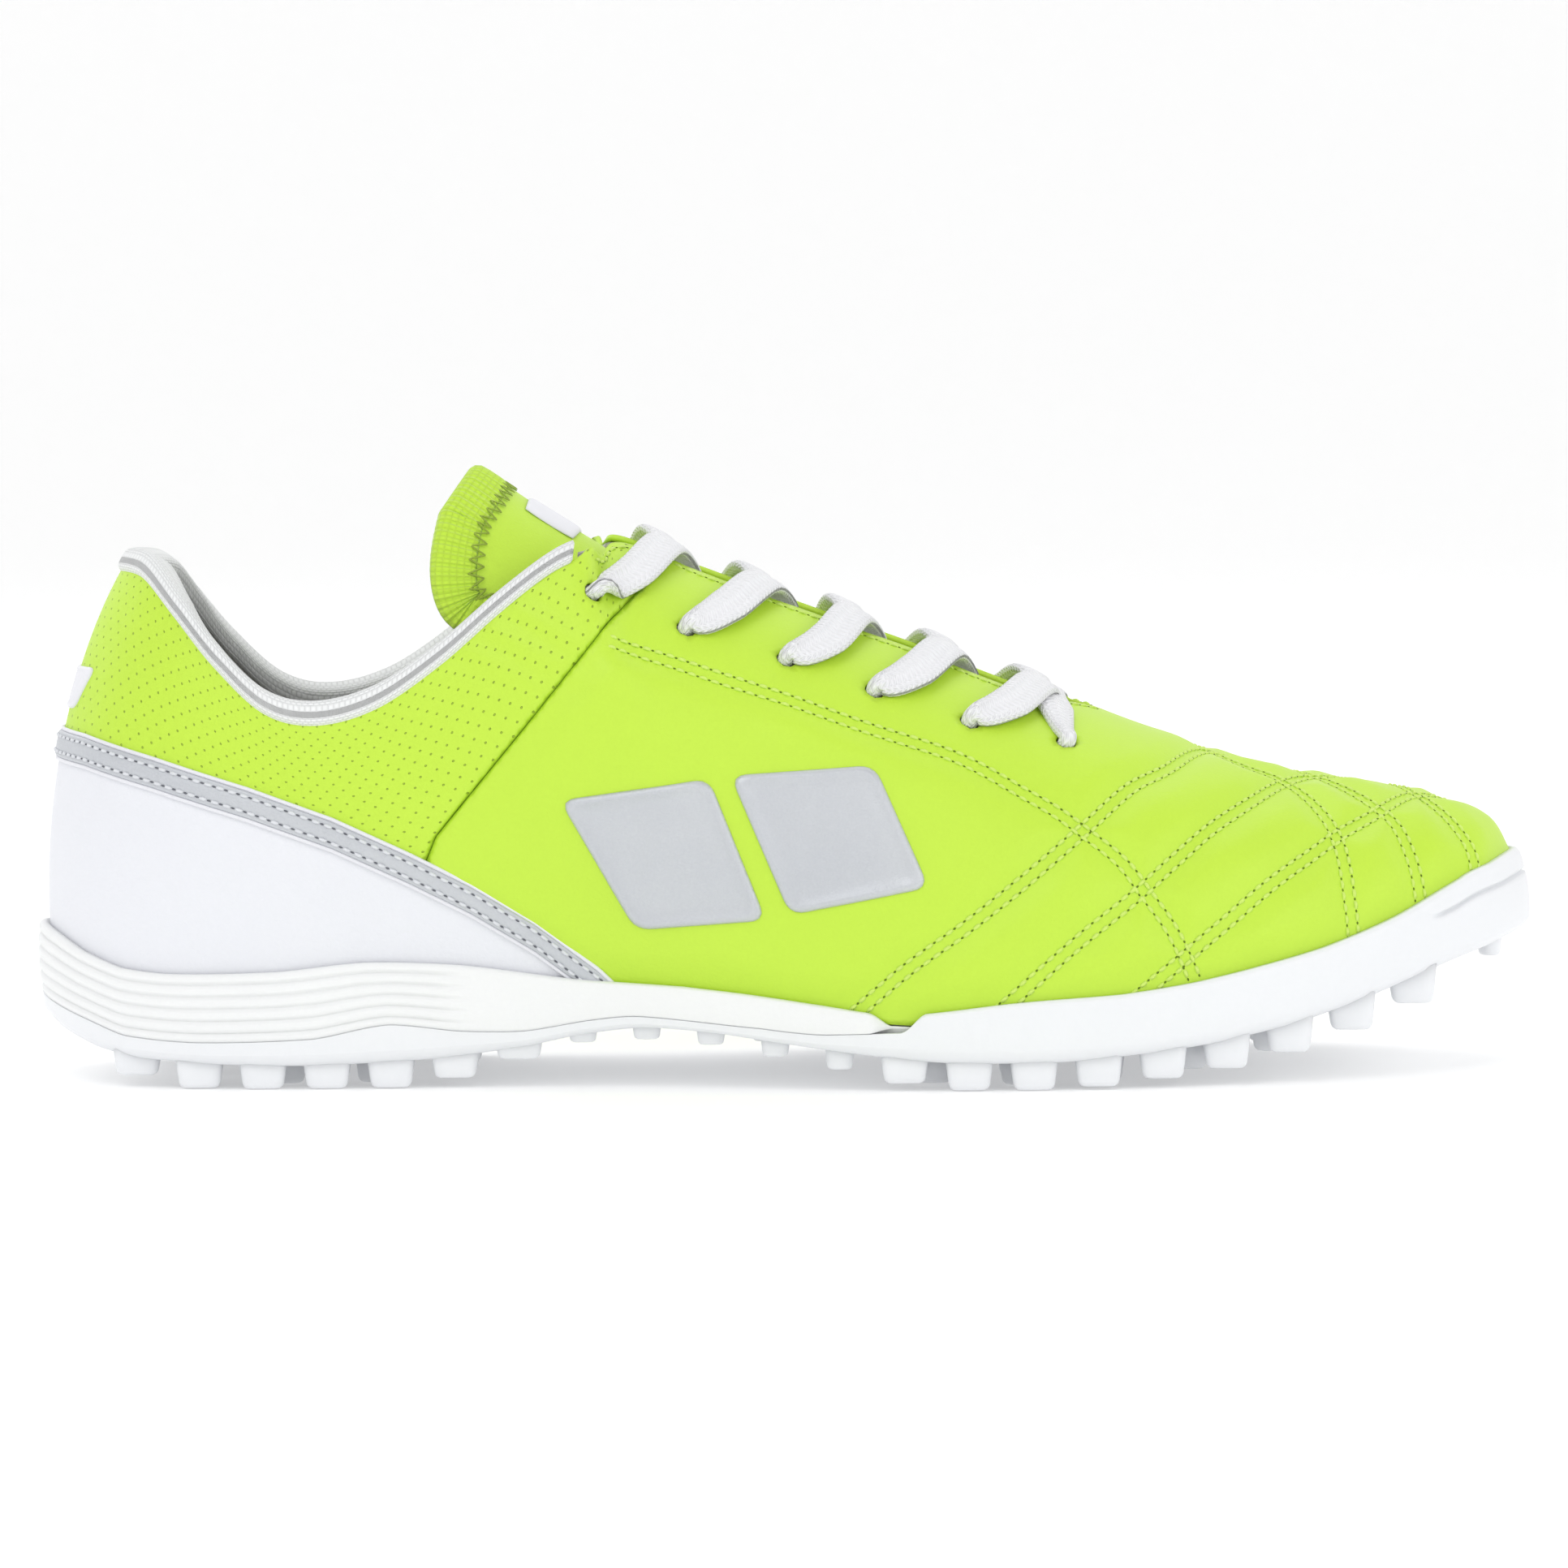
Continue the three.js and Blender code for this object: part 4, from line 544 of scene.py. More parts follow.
class Skin:
    """The upper as one grid over ring position and height, with its stitch lines and quilted relief."""

    def __init__(self, puff):
        columns = AROUND * U_STEPS
        u = np.arange(columns) / U_STEPS
        w = np.linspace(0, 1, UPPER_ROWS + 1)
        self.u = np.repeat(u[:, None], UPPER_ROWS + 1, axis=1)
        self.v = w[None] * top_share(u)[:, None]
        self.base = self.tree(surface(self.u, self.v))
        self.lines = self.quilting()
        self.near = KDTree(sum(len(line) for line in self.lines))
        for k, p in enumerate(np.vstack(self.lines)):
            self.near.insert(p, k)
        self.near.balance()
        self.puff = puff
        self.settled = np.zeros(self.u.shape, bool)
        self.eyes = [(surface(*eyelet_share(p, m)), m) for m in (False, True) for p in EYELETS]
        self.fields = []
        for field in (self.band_field, self.seam_field, self.eye_field):
            self.fields.append(self.snap(field))
        self.points = self.settle(self.relief(self.u, self.v))
        self.final = self.tree(self.points)

    def tree(self, points):
        faces = grid_faces(points.shape[0], points.shape[1], True)
        return BVHTree.FromPolygons(points.reshape(-1, 3).tolist(), faces.tolist())

    def band_field(self, u, v):
        p = bare(u, v)
        return (p[..., 2] - band_height(p[..., 0])) * 0.8

    def seam_field(self, u, v):
        p = bare(u, v)
        return p[..., 0] - seam_x(p[..., 2])

    def eye_field(self, u, v):
        p = bare(u, v)
        near = [np.where((u > LAST) == m, np.linalg.norm(p - e, axis=-1), 99) for e, m in self.eyes]
        return np.min(near, axis=0) - EYELET_HOLE

    def snap(self, field):
        """Moves grid corners next to the field's zero line onto it, and returns the field at the corners."""
        f = field(self.u, self.v)
        new_u, new_v, shift = self.u.copy(), self.v.copy(), np.full(f.shape, 9.0)
        for axis in (0, 1):
            far_u, far_v = np.roll(self.u, -1, axis), np.roll(self.v, -1, axis)
            if axis == 0:
                far_u = far_u.copy()
                far_u[-1] += AROUND
            g = np.roll(f, -1, axis)
            crossing = f * g < 0
            if axis == 1:
                crossing[:, -1] = False
            t = np.where(crossing, f / np.where(crossing, f - g, 1), 0)
            for own, much in ((True, t), (False, 1 - t)):
                take = crossing & (much <= 0.5)
                at_u, at_v = lerp(self.u, far_u, t), lerp(self.v, far_v, t)
                if not own:
                    take, at_u, at_v, much = (np.roll(q, 1, axis) for q in (take, at_u, at_v, much))
                better = take & (much < shift) & ~self.settled
                new_u[better], new_v[better], shift[better] = at_u[better], at_v[better], much[better]
        moved = shift < 1
        self.u, self.v = np.where(moved, new_u, self.u), np.where(moved, new_v, self.v)
        self.settled |= moved
        f = field(self.u, self.v)
        f[moved] = 0
        return f

    def on_side(self, x, z, medial):
        """Point of the plain side seen at [x, z]."""
        y = 120 if medial else -120
        hit = self.base.ray_cast((x, y, z), (0, -y / 120, 0))[0]
        return np.array(hit) if hit is not None else None

    def quilting(self):
        lines = []
        for medial in (False, True):
            control = [self.on_side(x, z, medial) for x, z in INSTEP_LINE]
            lines.append(self.laid(control))
            for near, far in DIAGONALS:
                start = [self.on_side(x, z, medial) for x, z in near]
                end = [np.array([x, -y if medial else y, z], float) for x, y, z in far]
                lines.append(self.laid(start + [np.array(self.base.find_nearest(p)[0]) for p in end]))
        return lines

    def laid(self, control):
        """A line through the control points, laid on the plain side."""
        control = np.array([p for p in control if p is not None])
        line = every(centripetal(control, 12), 0.8)
        return np.array([self.base.find_nearest(p)[0] for p in line])

    def relief(self, u, v):
        """Points of the quilted skin."""
        p = bare(u, v)
        n = normal_at(u, v)
        flat = p.reshape(-1, 3)
        distance = np.array([self.near.find(q)[2] for q in flat]).reshape(p.shape[:-1])
        x, z = p[..., 0], p[..., 2]
        soft = smooth(0.4, PUFF_REACH, distance) ** 0.8
        stay = 1 - smooth(-1, 4, z - instep_height(x)) * (1 - smooth(44, 60, x))
        ahead = smooth(0, 9, x - seam_x(z)) * smooth(-1, 6, z - band_height(x))
        above = smooth(0, 7, z - height_at(RIM_TOP, x))
        bulge = soft * stay * ahead * above
        folds = 0.32 * np.exp(-((x + 50) ** 2 + (z - 86) ** 2) / 130) * np.sin(x * 0.55 + z * 0.95)
        wave = 0.12 * np.sin(x * 0.31 + z * 0.2) * np.sin(z * 0.27 + 1.3) * ahead * above
        out = self.puff * bulge + folds * (v < 0.95) + wave
        return p + n * out[..., None]

    def settle(self, points):
        """Relaxes the grid round the ridge's front end, where its columns crowd together."""
        flat = points.reshape(-1, 3)
        _, first, back = np.unique(np.round(flat, 3), axis=0, return_index=True, return_inverse=True)
        back = back.ravel()
        own = flat[first]
        faces = back[grid_faces(*self.u.shape, True)]
        distance = np.linalg.norm(own - bare(POLE, 1.0), axis=1)
        amount = 0.8 * (1 - smooth(RELAX_REACH * 0.6, RELAX_REACH, distance))
        pairs = np.vstack([faces[:, [k, (k + 1) % 4]] for k in range(4)])
        pairs = np.unique(np.sort(pairs[(amount[pairs] > 0).any(1)], axis=1), axis=0)
        pairs = pairs[pairs[:, 0] != pairs[:, 1]]
        count = np.bincount(pairs.ravel(), minlength=len(own))
        moving = amount > 0
        for _ in range(RELAX_TIMES):
            total = np.zeros_like(own)
            np.add.at(total, pairs[:, 0], own[pairs[:, 1]])
            np.add.at(total, pairs[:, 1], own[pairs[:, 0]])
            own[moving] = lerp(own[moving], total[moving] / count[moving, None], amount[moving, None])
        return own[back].reshape(points.shape)

    def nearest(self, p):
        place, normal, _, _ = self.final.find_nearest(Vector(p))
        return np.array(place), np.array(normal)

    def cast(self, x, z, medial):
        y = 120 if medial else -120
        place, normal, _, _ = self.final.ray_cast((x, y, z), (0, -y / 120, 0))
        return (np.array(place), np.array(normal)) if place is not None else None

    def panel_faces(self):
        """Faces with the sign of each field on them, cut along the diagonals that the zero lines take."""
        columns, rows = self.u.shape
        quads = grid_faces(columns, rows, True)
        zero = np.any([np.abs(f.ravel()) < 1e-9 for f in self.fields], axis=0)
        special = zero[quads].any(1)
        other = zero[quads[:, 1]] & zero[quads[:, 3]] & ~(zero[quads[:, 0]] & zero[quads[:, 2]])
        cut = quads[special]
        turned = other[special][:, None]
        first = np.where(turned, cut[:, [0, 1, 3]], cut[:, [0, 1, 2]])
        second = np.where(turned, cut[:, [1, 2, 3]], cut[:, [0, 2, 3]])
        return quads[~special], np.vstack([first, second])


@lru_cache(maxsize=1)
def skin():
    return Skin(bpy.context.scene.shoe_sizes.puff * 1000)


def double_row(line):
    """Two rows beside a line of the skin, each as points and normals."""
    made = []
    for way in (-1, 1):
        places, normals = [], []
        for k, p in enumerate(line):
            ahead = unit(line[min(k + 1, len(line) - 1)] - line[max(k - 1, 0)])
            _, n = skin().nearest(p)
            q, n = skin().nearest(p + np.cross(n, ahead) * way * STITCH_APART)
            places.append(q)
            normals.append(n)
        made.append((np.array(places), np.array(normals)))
    return made


class Seams:
    """Threads, and dark beads of painted shade in the needle holes, gathered over many rows."""

    def __init__(self):
        self.threads = []
        self.hole_shades = []

    def row(self, places, normals, pitch, share=STITCH_SHARE, radius=STITCH_RADIUS):
        at = lengths(places)
        pick_at = lambda e, what: np.array([np.interp(e, at, what[:, k]) for k in range(3)])
        for i in range(max(2, int(at[-1] / pitch))):
            low, high = (i + (1 - share) / 2) * pitch, (i + (1 + share) / 2) * pitch
            a, b = pick_at(low, places), pick_at(high, places)
            n = unit(pick_at((low + high) / 2, normals))
            self.threads.append((a, b, n, radius))
            # a dark bead over the gap after each stitch paints the shade in its needle hole
            gap_a, gap_b = pick_at(high + 0.02, places), pick_at(high + (1 - share) * pitch, places)
            if np.linalg.norm(gap_b - gap_a) > 0.05:
                self.hole_shades.append((gap_a, gap_b, n, radius * HOLE_SHARE))


# ---------------------------------------------------------------- the tongue's own surface
def tongue_curve():
    line = np.array([[x, 0, z] for x, z in TONGUE_LINE], float)
    return every(centripetal(line, 30), 0.5)


CURVE = tongue_curve()
CURVE_AT = lengths(CURVE)
TONGUE_LENGTH = CURVE_AT[-1]
HALVES = np.array([[0, 20], [20, 25], [60, 31], [90, 35], [112, 41], [200, 41]], float)


def tongue_half(along):
    """Half the tongue's width at a distance along it."""
    left = np.clip((TONGUE_LENGTH - np.asarray(along, float)) / 14, 0, 1)
    wide = np.interp(along, HALVES[:, 0], HALVES[:, 1])
    return wide * np.sqrt(np.clip(1 - (1 - left) ** 2 * 0.72, 0, 1))


def tongue_frame(along):
    """Middle of the tongue and its downward direction, at a distance along it."""
    along = np.clip(np.asarray(along, float), 0, TONGUE_LENGTH)
    place = np.stack([np.interp(along, CURVE_AT, CURVE[:, k]) for k in range(3)], axis=-1)
    a, b = np.clip(along - 1.5, 0, None), np.clip(along + 1.5, None, TONGUE_LENGTH)
    ahead = unit(np.stack([np.interp(b, CURVE_AT, CURVE[:, k]) - np.interp(a, CURVE_AT, CURVE[:, k])
                           for k in range(3)], axis=-1))
    down = np.stack([ahead[..., 2], np.zeros_like(along), -ahead[..., 0]], axis=-1)
    return place, np.where(down[..., 2:3] > 0, -down, down)


def tongue_point(along, across, depth):
    """Point of the arched tongue, depth under its face."""
    along, across, depth = np.broadcast_arrays(*(np.asarray(q, float) for q in (along, across, depth)))
    centre, down = tongue_frame(along)
    throat = lerp(THROAT_RADIUS + 8, THROAT_RADIUS, smooth(5, 40, along))
    radius = lerp(throat, TONGUE_RADIUS, smooth(TONGUE_LENGTH - 45, TONGUE_LENGTH - 15, along))
    bent = np.minimum(np.abs(across), radius * math.pi / 2)
    angle = bent / radius
    inner = radius - depth
    drop = radius - inner * np.cos(angle) + np.abs(across) - bent
    side_y = np.sign(across) * inner * np.sin(angle)
    return centre + down * drop[..., None] + np.stack([0 * side_y, side_y, 0 * side_y], axis=-1)


def along_at(x):
    return float(np.interp(-x, -CURVE[:, 0], CURVE_AT))


BEND = along_at(HINGE_X)
TONGUE_DEPTH = 4.4


# ---------------------------------------------------------------- the lace's route
LACE_UNDER = LINING_OUT - LINING - GAP - LACE_THICKNESS / 2 - 0.5
LACE_OVER = LACE_THICKNESS / 2 + GAP


def liner_base(x):
    return height_at(BED, x) + GAP + BOARD + GAP


def throat_u(x):
    """Ring position at which the throat edge is at x."""
    us = np.linspace(CORNER, THROAT_END, 400)
    return float(np.interp(x, bare(us, side(us)[2])[:, 0], us))


@lru_cache(maxsize=1)
def lace_route():
    """Stations of the lace: place, facing direction and width, from one tucked end to the other."""
    route = []
    eyes = {(row, m): eyelet_share(p, m) for row, p in enumerate(EYELETS) for m in (False, True)}

    def add(place, flat, width, turn):
        route.append([np.array(place), np.array(flat) * turn, width])

    def at_edge(x, medial, d, turn):
        u = throat_u(x)
        u = AROUND - u if medial else u
        edge = float(side(u)[2])
        add(surface(u, edge, d), normal_at(u, edge), LACE_WIDTH, turn)

    def over_tongue(x, rise, turn):
        place, down = tongue_frame(along_at(x))
        add(place - down * rise, -down, LACE_WIDTH, turn)

    def near_eye(row, medial, d, share, width, turn, forward=0.0):
        u, v = eyes[row, medial]
        high = lerp(v, float(side(u)[2]), share)
        if forward:
            x = EYELETS[row][0] + forward
            edge = throat_u(x)
            eye_line = float(np.interp(x, *np.array(EYELETS).T))
            u, high = eyelet_share((x, lerp(eye_line, float(bare(edge, side(edge)[2])[2]), share)), medial)
        add(surface(u, high, d), normal_at(u, high), width, turn)

    def cross(row, medial, high, turn):
        a, b = EYELETS[row][0], EYELETS[row + 1][0]
        near_eye(row, medial, LACE_OVER + 0.5, 0.14, 6.6, turn, 2.8)
        near_eye(row, medial, LACE_OVER + 1.2, 0.45, LACE_WIDTH, turn, 7.2)
        at_edge(lerp(a, b, 0.72), medial, LACE_OVER + 1.9, turn)
        over_tongue(lerp(a, b, 0.88), 2.7 if high else 1.2, turn)
        at_edge(lerp(a, b, 0.97), not medial, LACE_UNDER - 0.5, turn)
        near_eye(row + 1, not medial, LACE_UNDER - 1.2, 0.5, 6, turn)
        near_eye(row + 1, not medial, LACE_UNDER, 0.16, 4.6, turn)

    def through(row, medial, inward, turn):
        u, v = eyes[row, medial]
        edgeward = unit(surface(u, min(v + 0.04, 1)) - surface(u, v))
        out = normal_at(u, v)
        towards = edgeward * (-1 if inward else 1)
        stops = [(LACE_OVER + 0.7, 1 if inward else -1), (LINING_OUT / 2, 0),
                 (LACE_UNDER - 0.9, -1 if inward else 1)]
        for depth, tilt in stops if inward else stops[::-1]:
            add(surface(u, v, depth), unit(towards + out * tilt), 3.3, turn)

    def tucked(medial):
        u, v = eyes[0, medial]
        way = -1 if medial else 1
        points = []
        for step, share in ((0.05, 0.95), (0.2, 0.85), (0.6, 0.68), (1.1, 0.5), (1.8, 0.34)):
            at = u + way * step
            depth = lining_in(at, v * share) - GAP - LACE_THICKNESS / 2 - 2.9
            points.append([surface(at, v * share, depth), normal_at(at, v * share),
                           4.6 if share > 0.9 else LACE_WIDTH])
        for step in np.arange(2.8, 6, 0.75):
            at = u + way * step
            high = liner_base(foot_x(at)) + FOOTBED + LACE_WIDTH / 2 + 1
            depth = lining_in(at, 0.2) - GAP - LACE_THICKNESS / 2 - 3.1
            points.append([wall_point(at, high, depth), side(at)[0], LACE_WIDTH])
        return points

    rows = len(EYELETS)
    turn, medial = 1, False
    route.extend(tucked(False)[::-1])
    through(0, False, False, turn)
    for row in range(rows - 1):
        cross(row, medial, row % 2 == 0, turn)
        medial = not medial
        through(row + 1, medial, False, turn)
        turn = -turn
    for m, share in ((medial, 0.2), (medial, 0.6), (medial, 0.97), (not medial, 0.97), (not medial, 0.6),
                     (not medial, 0.2)):
        wide = share > 0.5
        near_eye(rows - 1, m, LACE_OVER + (0.4 if wide else 0.1), share, LACE_WIDTH if wide else 4.6, turn)
    medial = not medial
    through(rows - 1, medial, True, turn)
    turn = -turn
    keep, rest, back = len(route), [], not medial
    for row in range(rows - 2, -1, -1):
        cross(row, back, row % 2 == 1, turn)
        rest += route[keep:][::-1]
        del route[keep:]
        through(row, back, True, turn)
        rest += route[keep:]
        del route[keep:]
        back, turn = not back, -turn
    route.extend(rest)
    route.extend([p, f * turn, w] for p, f, w in tucked(True))
    return route


# ---------------------------------------------------------------- finishes
def node(tree, kind, **values):
    made = tree.nodes.new(kind)
    for key, value in values.items():
        if key in made.inputs:
            made.inputs[key].default_value = value
        else:
            setattr(made, key, value)
    return made


def calc(tree, operation, *values):
    """A Math node's output, from sockets and numbers."""
    made = tree.nodes.new("ShaderNodeMath")
    made.operation = operation
    for socket, value in zip(made.inputs, values):
        if isinstance(value, (int, float)):
            socket.default_value = value
        else:
            tree.links.new(value, socket)
    return made.outputs[0]


def group(name, inputs, outputs):
    tree = bpy.data.node_groups.new(name, "ShaderNodeTree")
    for label, kind, default in inputs:
        socket = tree.interface.new_socket(name=label, in_out="INPUT", socket_type=kind)
        if default is not None:
            socket.default_value = default
    for label, kind in outputs:
        tree.interface.new_socket(name=label, in_out="OUTPUT", socket_type=kind)
    return tree, tree.nodes.new("NodeGroupInput").outputs, tree.nodes.new("NodeGroupOutput").inputs


@lru_cache(maxsize=1)
def grain_group():
    """Fine grain with soft colour variation, from object coordinates in metres."""
    tree, given, out = group("Grain",
                             [("Base", "NodeSocketColor", (1, 1, 1, 1)),
                              ("Shade", "NodeSocketColor", (0, 0, 0, 1)),
                                       ("Scale", "NodeSocketFloat", 900.0),
                              ("Variation", "NodeSocketFloat", 0.1)],
                             [("Color", "NodeSocketColor"), ("Height", "NodeSocketFloat"),
                              ("Mask", "NodeSocketFloat")])
    where = node(tree, "ShaderNodeTexCoord").outputs["Object"]
    fine = node(tree, "ShaderNodeTexNoise", Detail=3.0, Roughness=0.6)
    broad = node(tree, "ShaderNodeTexNoise", Scale=38.0, Detail=3.0, Roughness=0.55)
    tree.links.new(where, fine.inputs["Vector"])
    tree.links.new(where, broad.inputs["Vector"])
    tree.links.new(given["Scale"], fine.inputs["Scale"])
    mixed = calc(tree, "ADD", calc(tree, "MULTIPLY", fine.outputs[0], 0.45),
                 calc(tree, "MULTIPLY", broad.outputs[0], 0.55))
    mix = node(tree, "ShaderNodeMix", data_type="RGBA")
    tree.links.new(calc(tree, "MULTIPLY", mixed, given["Variation"]), mix.inputs["Factor"])
    tree.links.new(given["Base"], mix.inputs[6])
    tree.links.new(given["Shade"], mix.inputs[7])
    tree.links.new(mix.outputs[2], out["Color"])
    tree.links.new(fine.outputs[0], out["Height"])
    tree.links.new(broad.outputs[0], out["Mask"])
    return tree


@lru_cache(maxsize=1)
def weave_group():
    """Crossed threads over UV in metres: their height, and how deep in the gaps between them a point is."""
    tree, given, out = group("Crossed threads",
                             [("Across", "NodeSocketFloat", 0.0012), ("Up", "NodeSocketFloat", 0.0012),
                                                 ("Stagger", "NodeSocketFloat", 1.0)],
                             [("Height", "NodeSocketFloat"), ("Gap", "NodeSocketFloat")])
    parts = node(tree, "ShaderNodeSeparateXYZ")
    tree.links.new(node(tree, "ShaderNodeTexCoord").outputs["UV"], parts.inputs[0])
    row = calc(tree, "DIVIDE", parts.outputs[1], given["Up"])
    odd = calc(tree, "MULTIPLY", calc(tree, "MODULO", calc(tree, "FLOOR", row), 2.0), 0.5)
    column = calc(tree, "ADD", calc(tree, "DIVIDE", parts.outputs[0], given["Across"]),
                  calc(tree, "MULTIPLY", odd, given["Stagger"]))
    a = calc(tree, "ABSOLUTE", calc(tree, "SINE", calc(tree, "MULTIPLY", row, math.pi)))
    b = calc(tree, "ABSOLUTE", calc(tree, "SINE", calc(tree, "MULTIPLY", column, math.pi)))
    height = calc(tree, "MULTIPLY", calc(tree, "SQRT", a), calc(tree, "SQRT", b))
    tree.links.new(height, out["Height"])
    tree.links.new(calc(tree, "SUBTRACT", 1.0, height), out["Gap"])
    return tree


def colour(values):
    """Linear colour of an sRGB triple."""
    return tuple(((c + 0.055) / 1.055) ** 2.4 if c > 0.04045 else c / 12.92 for c in values) + (1.0,)


@lru_cache(maxsize=None)
def finish(name, base, shade, rough, scale=900.0, variation=0.15, depth=0.00006, metallic=0.0, coat=0.0,
           sheen=0.0, soft=0.0, weave=None, weave_depth=0.0002, pattern=None, gap_shade=0.35):
    """A finish of grain over a colour, with a weave or a pattern of its own where it has one."""
    material = bpy.data.materials.new(name)
    material.use_nodes = True
    tree = material.node_tree
    shader = tree.nodes["Principled BSDF"]
    shader.inputs["Metallic"].default_value = metallic
    shader.inputs["Coat Weight"].default_value = coat
    shader.inputs["Coat Roughness"].default_value = 0.3
    shader.inputs["Sheen Weight"].default_value = sheen
    shader.inputs["Sheen Roughness"].default_value = 0.5
    shader.inputs["Subsurface Weight"].default_value = soft
    shader.inputs["Subsurface Radius"].default_value = (0.004, 0.004, 0.004)
    shader.inputs["Subsurface Scale"].default_value = 0.5
    grain = node(tree, "ShaderNodeGroup", node_tree=grain_group())
    grain.inputs["Base"].default_value = colour(base)
    grain.inputs["Shade"].default_value = colour(shade)
    grain.inputs["Scale"].default_value = scale
    grain.inputs["Variation"].default_value = variation
    look, height = grain.outputs["Color"], calc(tree, "MULTIPLY", grain.outputs["Height"], depth)
    rougher = calc(tree, "ADD", calc(tree, "MULTIPLY", grain.outputs["Mask"], 0.12), rough - 0.06)
    gap = None
    if weave:
        threads = node(tree, "ShaderNodeGroup", node_tree=weave_group())
        for label, value in zip(("Across", "Up", "Stagger"), weave):
            threads.inputs[label].default_value = value
        gap = threads.outputs["Gap"]
        height = calc(tree, "ADD", height, calc(tree, "MULTIPLY", threads.outputs["Height"], weave_depth))
    if pattern:
        gap, relief = pattern(tree)
        height = calc(tree, "ADD", height, relief)
    # painted shade: the colour is darkened in the gaps between threads, between the lace's ribs and in punched
    # holes, where shade would fall
    if gap is not None:
        painted_shade = node(tree, "ShaderNodeMix", data_type="RGBA")
        tree.links.new(calc(tree, "MULTIPLY", gap, gap_shade), painted_shade.inputs["Factor"])
        tree.links.new(look, painted_shade.inputs[6])
        painted_shade.inputs[7].default_value = colour([c * 0.55 for c in shade])
        look = painted_shade.outputs[2]
    bump = node(tree, "ShaderNodeBump", Strength=1.0, Distance=1.0)
    tree.links.new(height, bump.inputs["Height"])
    tree.links.new(bump.outputs[0], shader.inputs["Normal"])
    tree.links.new(look, shader.inputs["Base Color"])
    tree.links.new(rougher, shader.inputs["Roughness"])
    return material


def perforations(tree):
    """Staggered punched holes, as a relief and as a mask by which the finish paints shade into them."""
    apart, radius = 0.0035, 0.00022
    parts = node(tree, "ShaderNodeSeparateXYZ")
    tree.links.new(node(tree, "ShaderNodeTexCoord").outputs["UV"], parts.inputs[0])
    row = calc(tree, "DIVIDE", parts.outputs[1], apart * 0.62)
    odd = calc(tree, "MULTIPLY", calc(tree, "MODULO", calc(tree, "FLOOR", row), 2.0), 0.5)
    column = calc(tree, "ADD", calc(tree, "DIVIDE", parts.outputs[0], apart), odd)
    dx = calc(tree, "MULTIPLY", calc(tree, "SUBTRACT", calc(tree, "FRACT", column), 0.5), apart)
    dy = calc(tree, "MULTIPLY", calc(tree, "SUBTRACT", calc(tree, "FRACT", row), 0.5), apart * 0.62)
    far = calc(tree, "SQRT",
               calc(tree, "ADD", calc(tree, "MULTIPLY", dx, dx), calc(tree, "MULTIPLY", dy, dy)))
    hole = calc(tree, "SUBTRACT", 1.0, calc(tree, "MINIMUM", calc(tree, "MAXIMUM", calc(
        tree, "DIVIDE", calc(tree, "SUBTRACT", far, radius * 0.7), radius * 0.5), 0.0), 1.0))
    return hole, calc(tree, "MULTIPLY", hole, -0.0004)


def herringbone(tree):
    """Chevron ribs of a flat woven lace, over UV in metres."""
    parts = node(tree, "ShaderNodeSeparateXYZ")
    tree.links.new(node(tree, "ShaderNodeTexCoord").outputs["UV"], parts.inputs[0])
    lean = calc(tree, "MULTIPLY", calc(tree, "PINGPONG", parts.outputs[1], 0.0013), 0.9)
    wave = calc(tree, "SINE",
                calc(tree, "MULTIPLY", calc(tree, "ADD", parts.outputs[0], lean), 2 * math.pi / 0.0011))
    rib = calc(tree, "SINE", calc(tree, "MULTIPLY", parts.outputs[1], 2 * math.pi / 0.0013))
    height = calc(tree, "MULTIPLY", calc(tree, "ADD", wave, calc(tree, "MULTIPLY", rib, 0.7)), 0.00009)
    # mask of where the ribs dip, by which the finish paints shade between them
    gap = calc(tree, "MULTIPLY",
               calc(tree, "MAXIMUM", calc(tree, "MULTIPLY", calc(tree, "ADD", wave, rib), -0.5), 0.0), 0.18)
    return gap, height


def lime():
    return tuple(bpy.context.scene.shoe_colours.lime)


def white():
    return tuple(bpy.context.scene.shoe_colours.white)


def shade_of(base, share):
    return tuple(c * share for c in base)


def lime_skin():
    return finish("lime synthetic", lime(), shade_of(lime(), 0.86), 0.46, 1500.0, 0.3, 0.00007, coat=0.08)


def lime_perforated():
    return finish("perforated lime synthetic", lime(), shade_of(lime(), 0.86), 0.48, 1500.0, 0.3, 0.00007,
                  coat=0.06, pattern=perforations, gap_shade=0.42)


def white_skin():
    return finish("white synthetic", white(), (0.86, 0.87, 0.9), 0.45, 1300.0, 0.3, 0.0001, coat=0.06)


def silver_foil():
    return finish("silver foil", tuple(bpy.context.scene.shoe_colours.silver), (0.6, 0.62, 0.68), 0.38,
                  2200.0, 0.5,
                  0.00009, metallic=0.35)


def white_film():
    return finish("white film", (0.93, 0.93, 0.95), (0.84, 0.85, 0.88), 0.4, 1700.0, 0.3, 0.00004, coat=0.1)


def rubber():
    return finish("white rubber", (0.95, 0.955, 0.965), (0.84, 0.86, 0.88), 0.42, 700.0, 0.25, 0.00004,
                  coat=0.1, soft=0.12)


def foam():
    return finish("white foam", (0.96, 0.965, 0.965), (0.87, 0.87, 0.88), 0.6, 1100.0, 0.25, 0.00008,
                  soft=0.05)


def thread(name, base):
    return finish(name, base, shade_of(base, 0.8), 0.6, 5000.0, 0.5, 0.00003, sheen=0.2)


def lining_mesh():
    grey = tuple(bpy.context.scene.shoe_colours.lining)
    return finish("lining mesh", grey, shade_of(grey, 0.72), 0.85, 2500.0, 0.35, 0.00008, sheen=0.3,
                  weave=(0.0017, 0.0014, 1.0), weave_depth=0.0005)


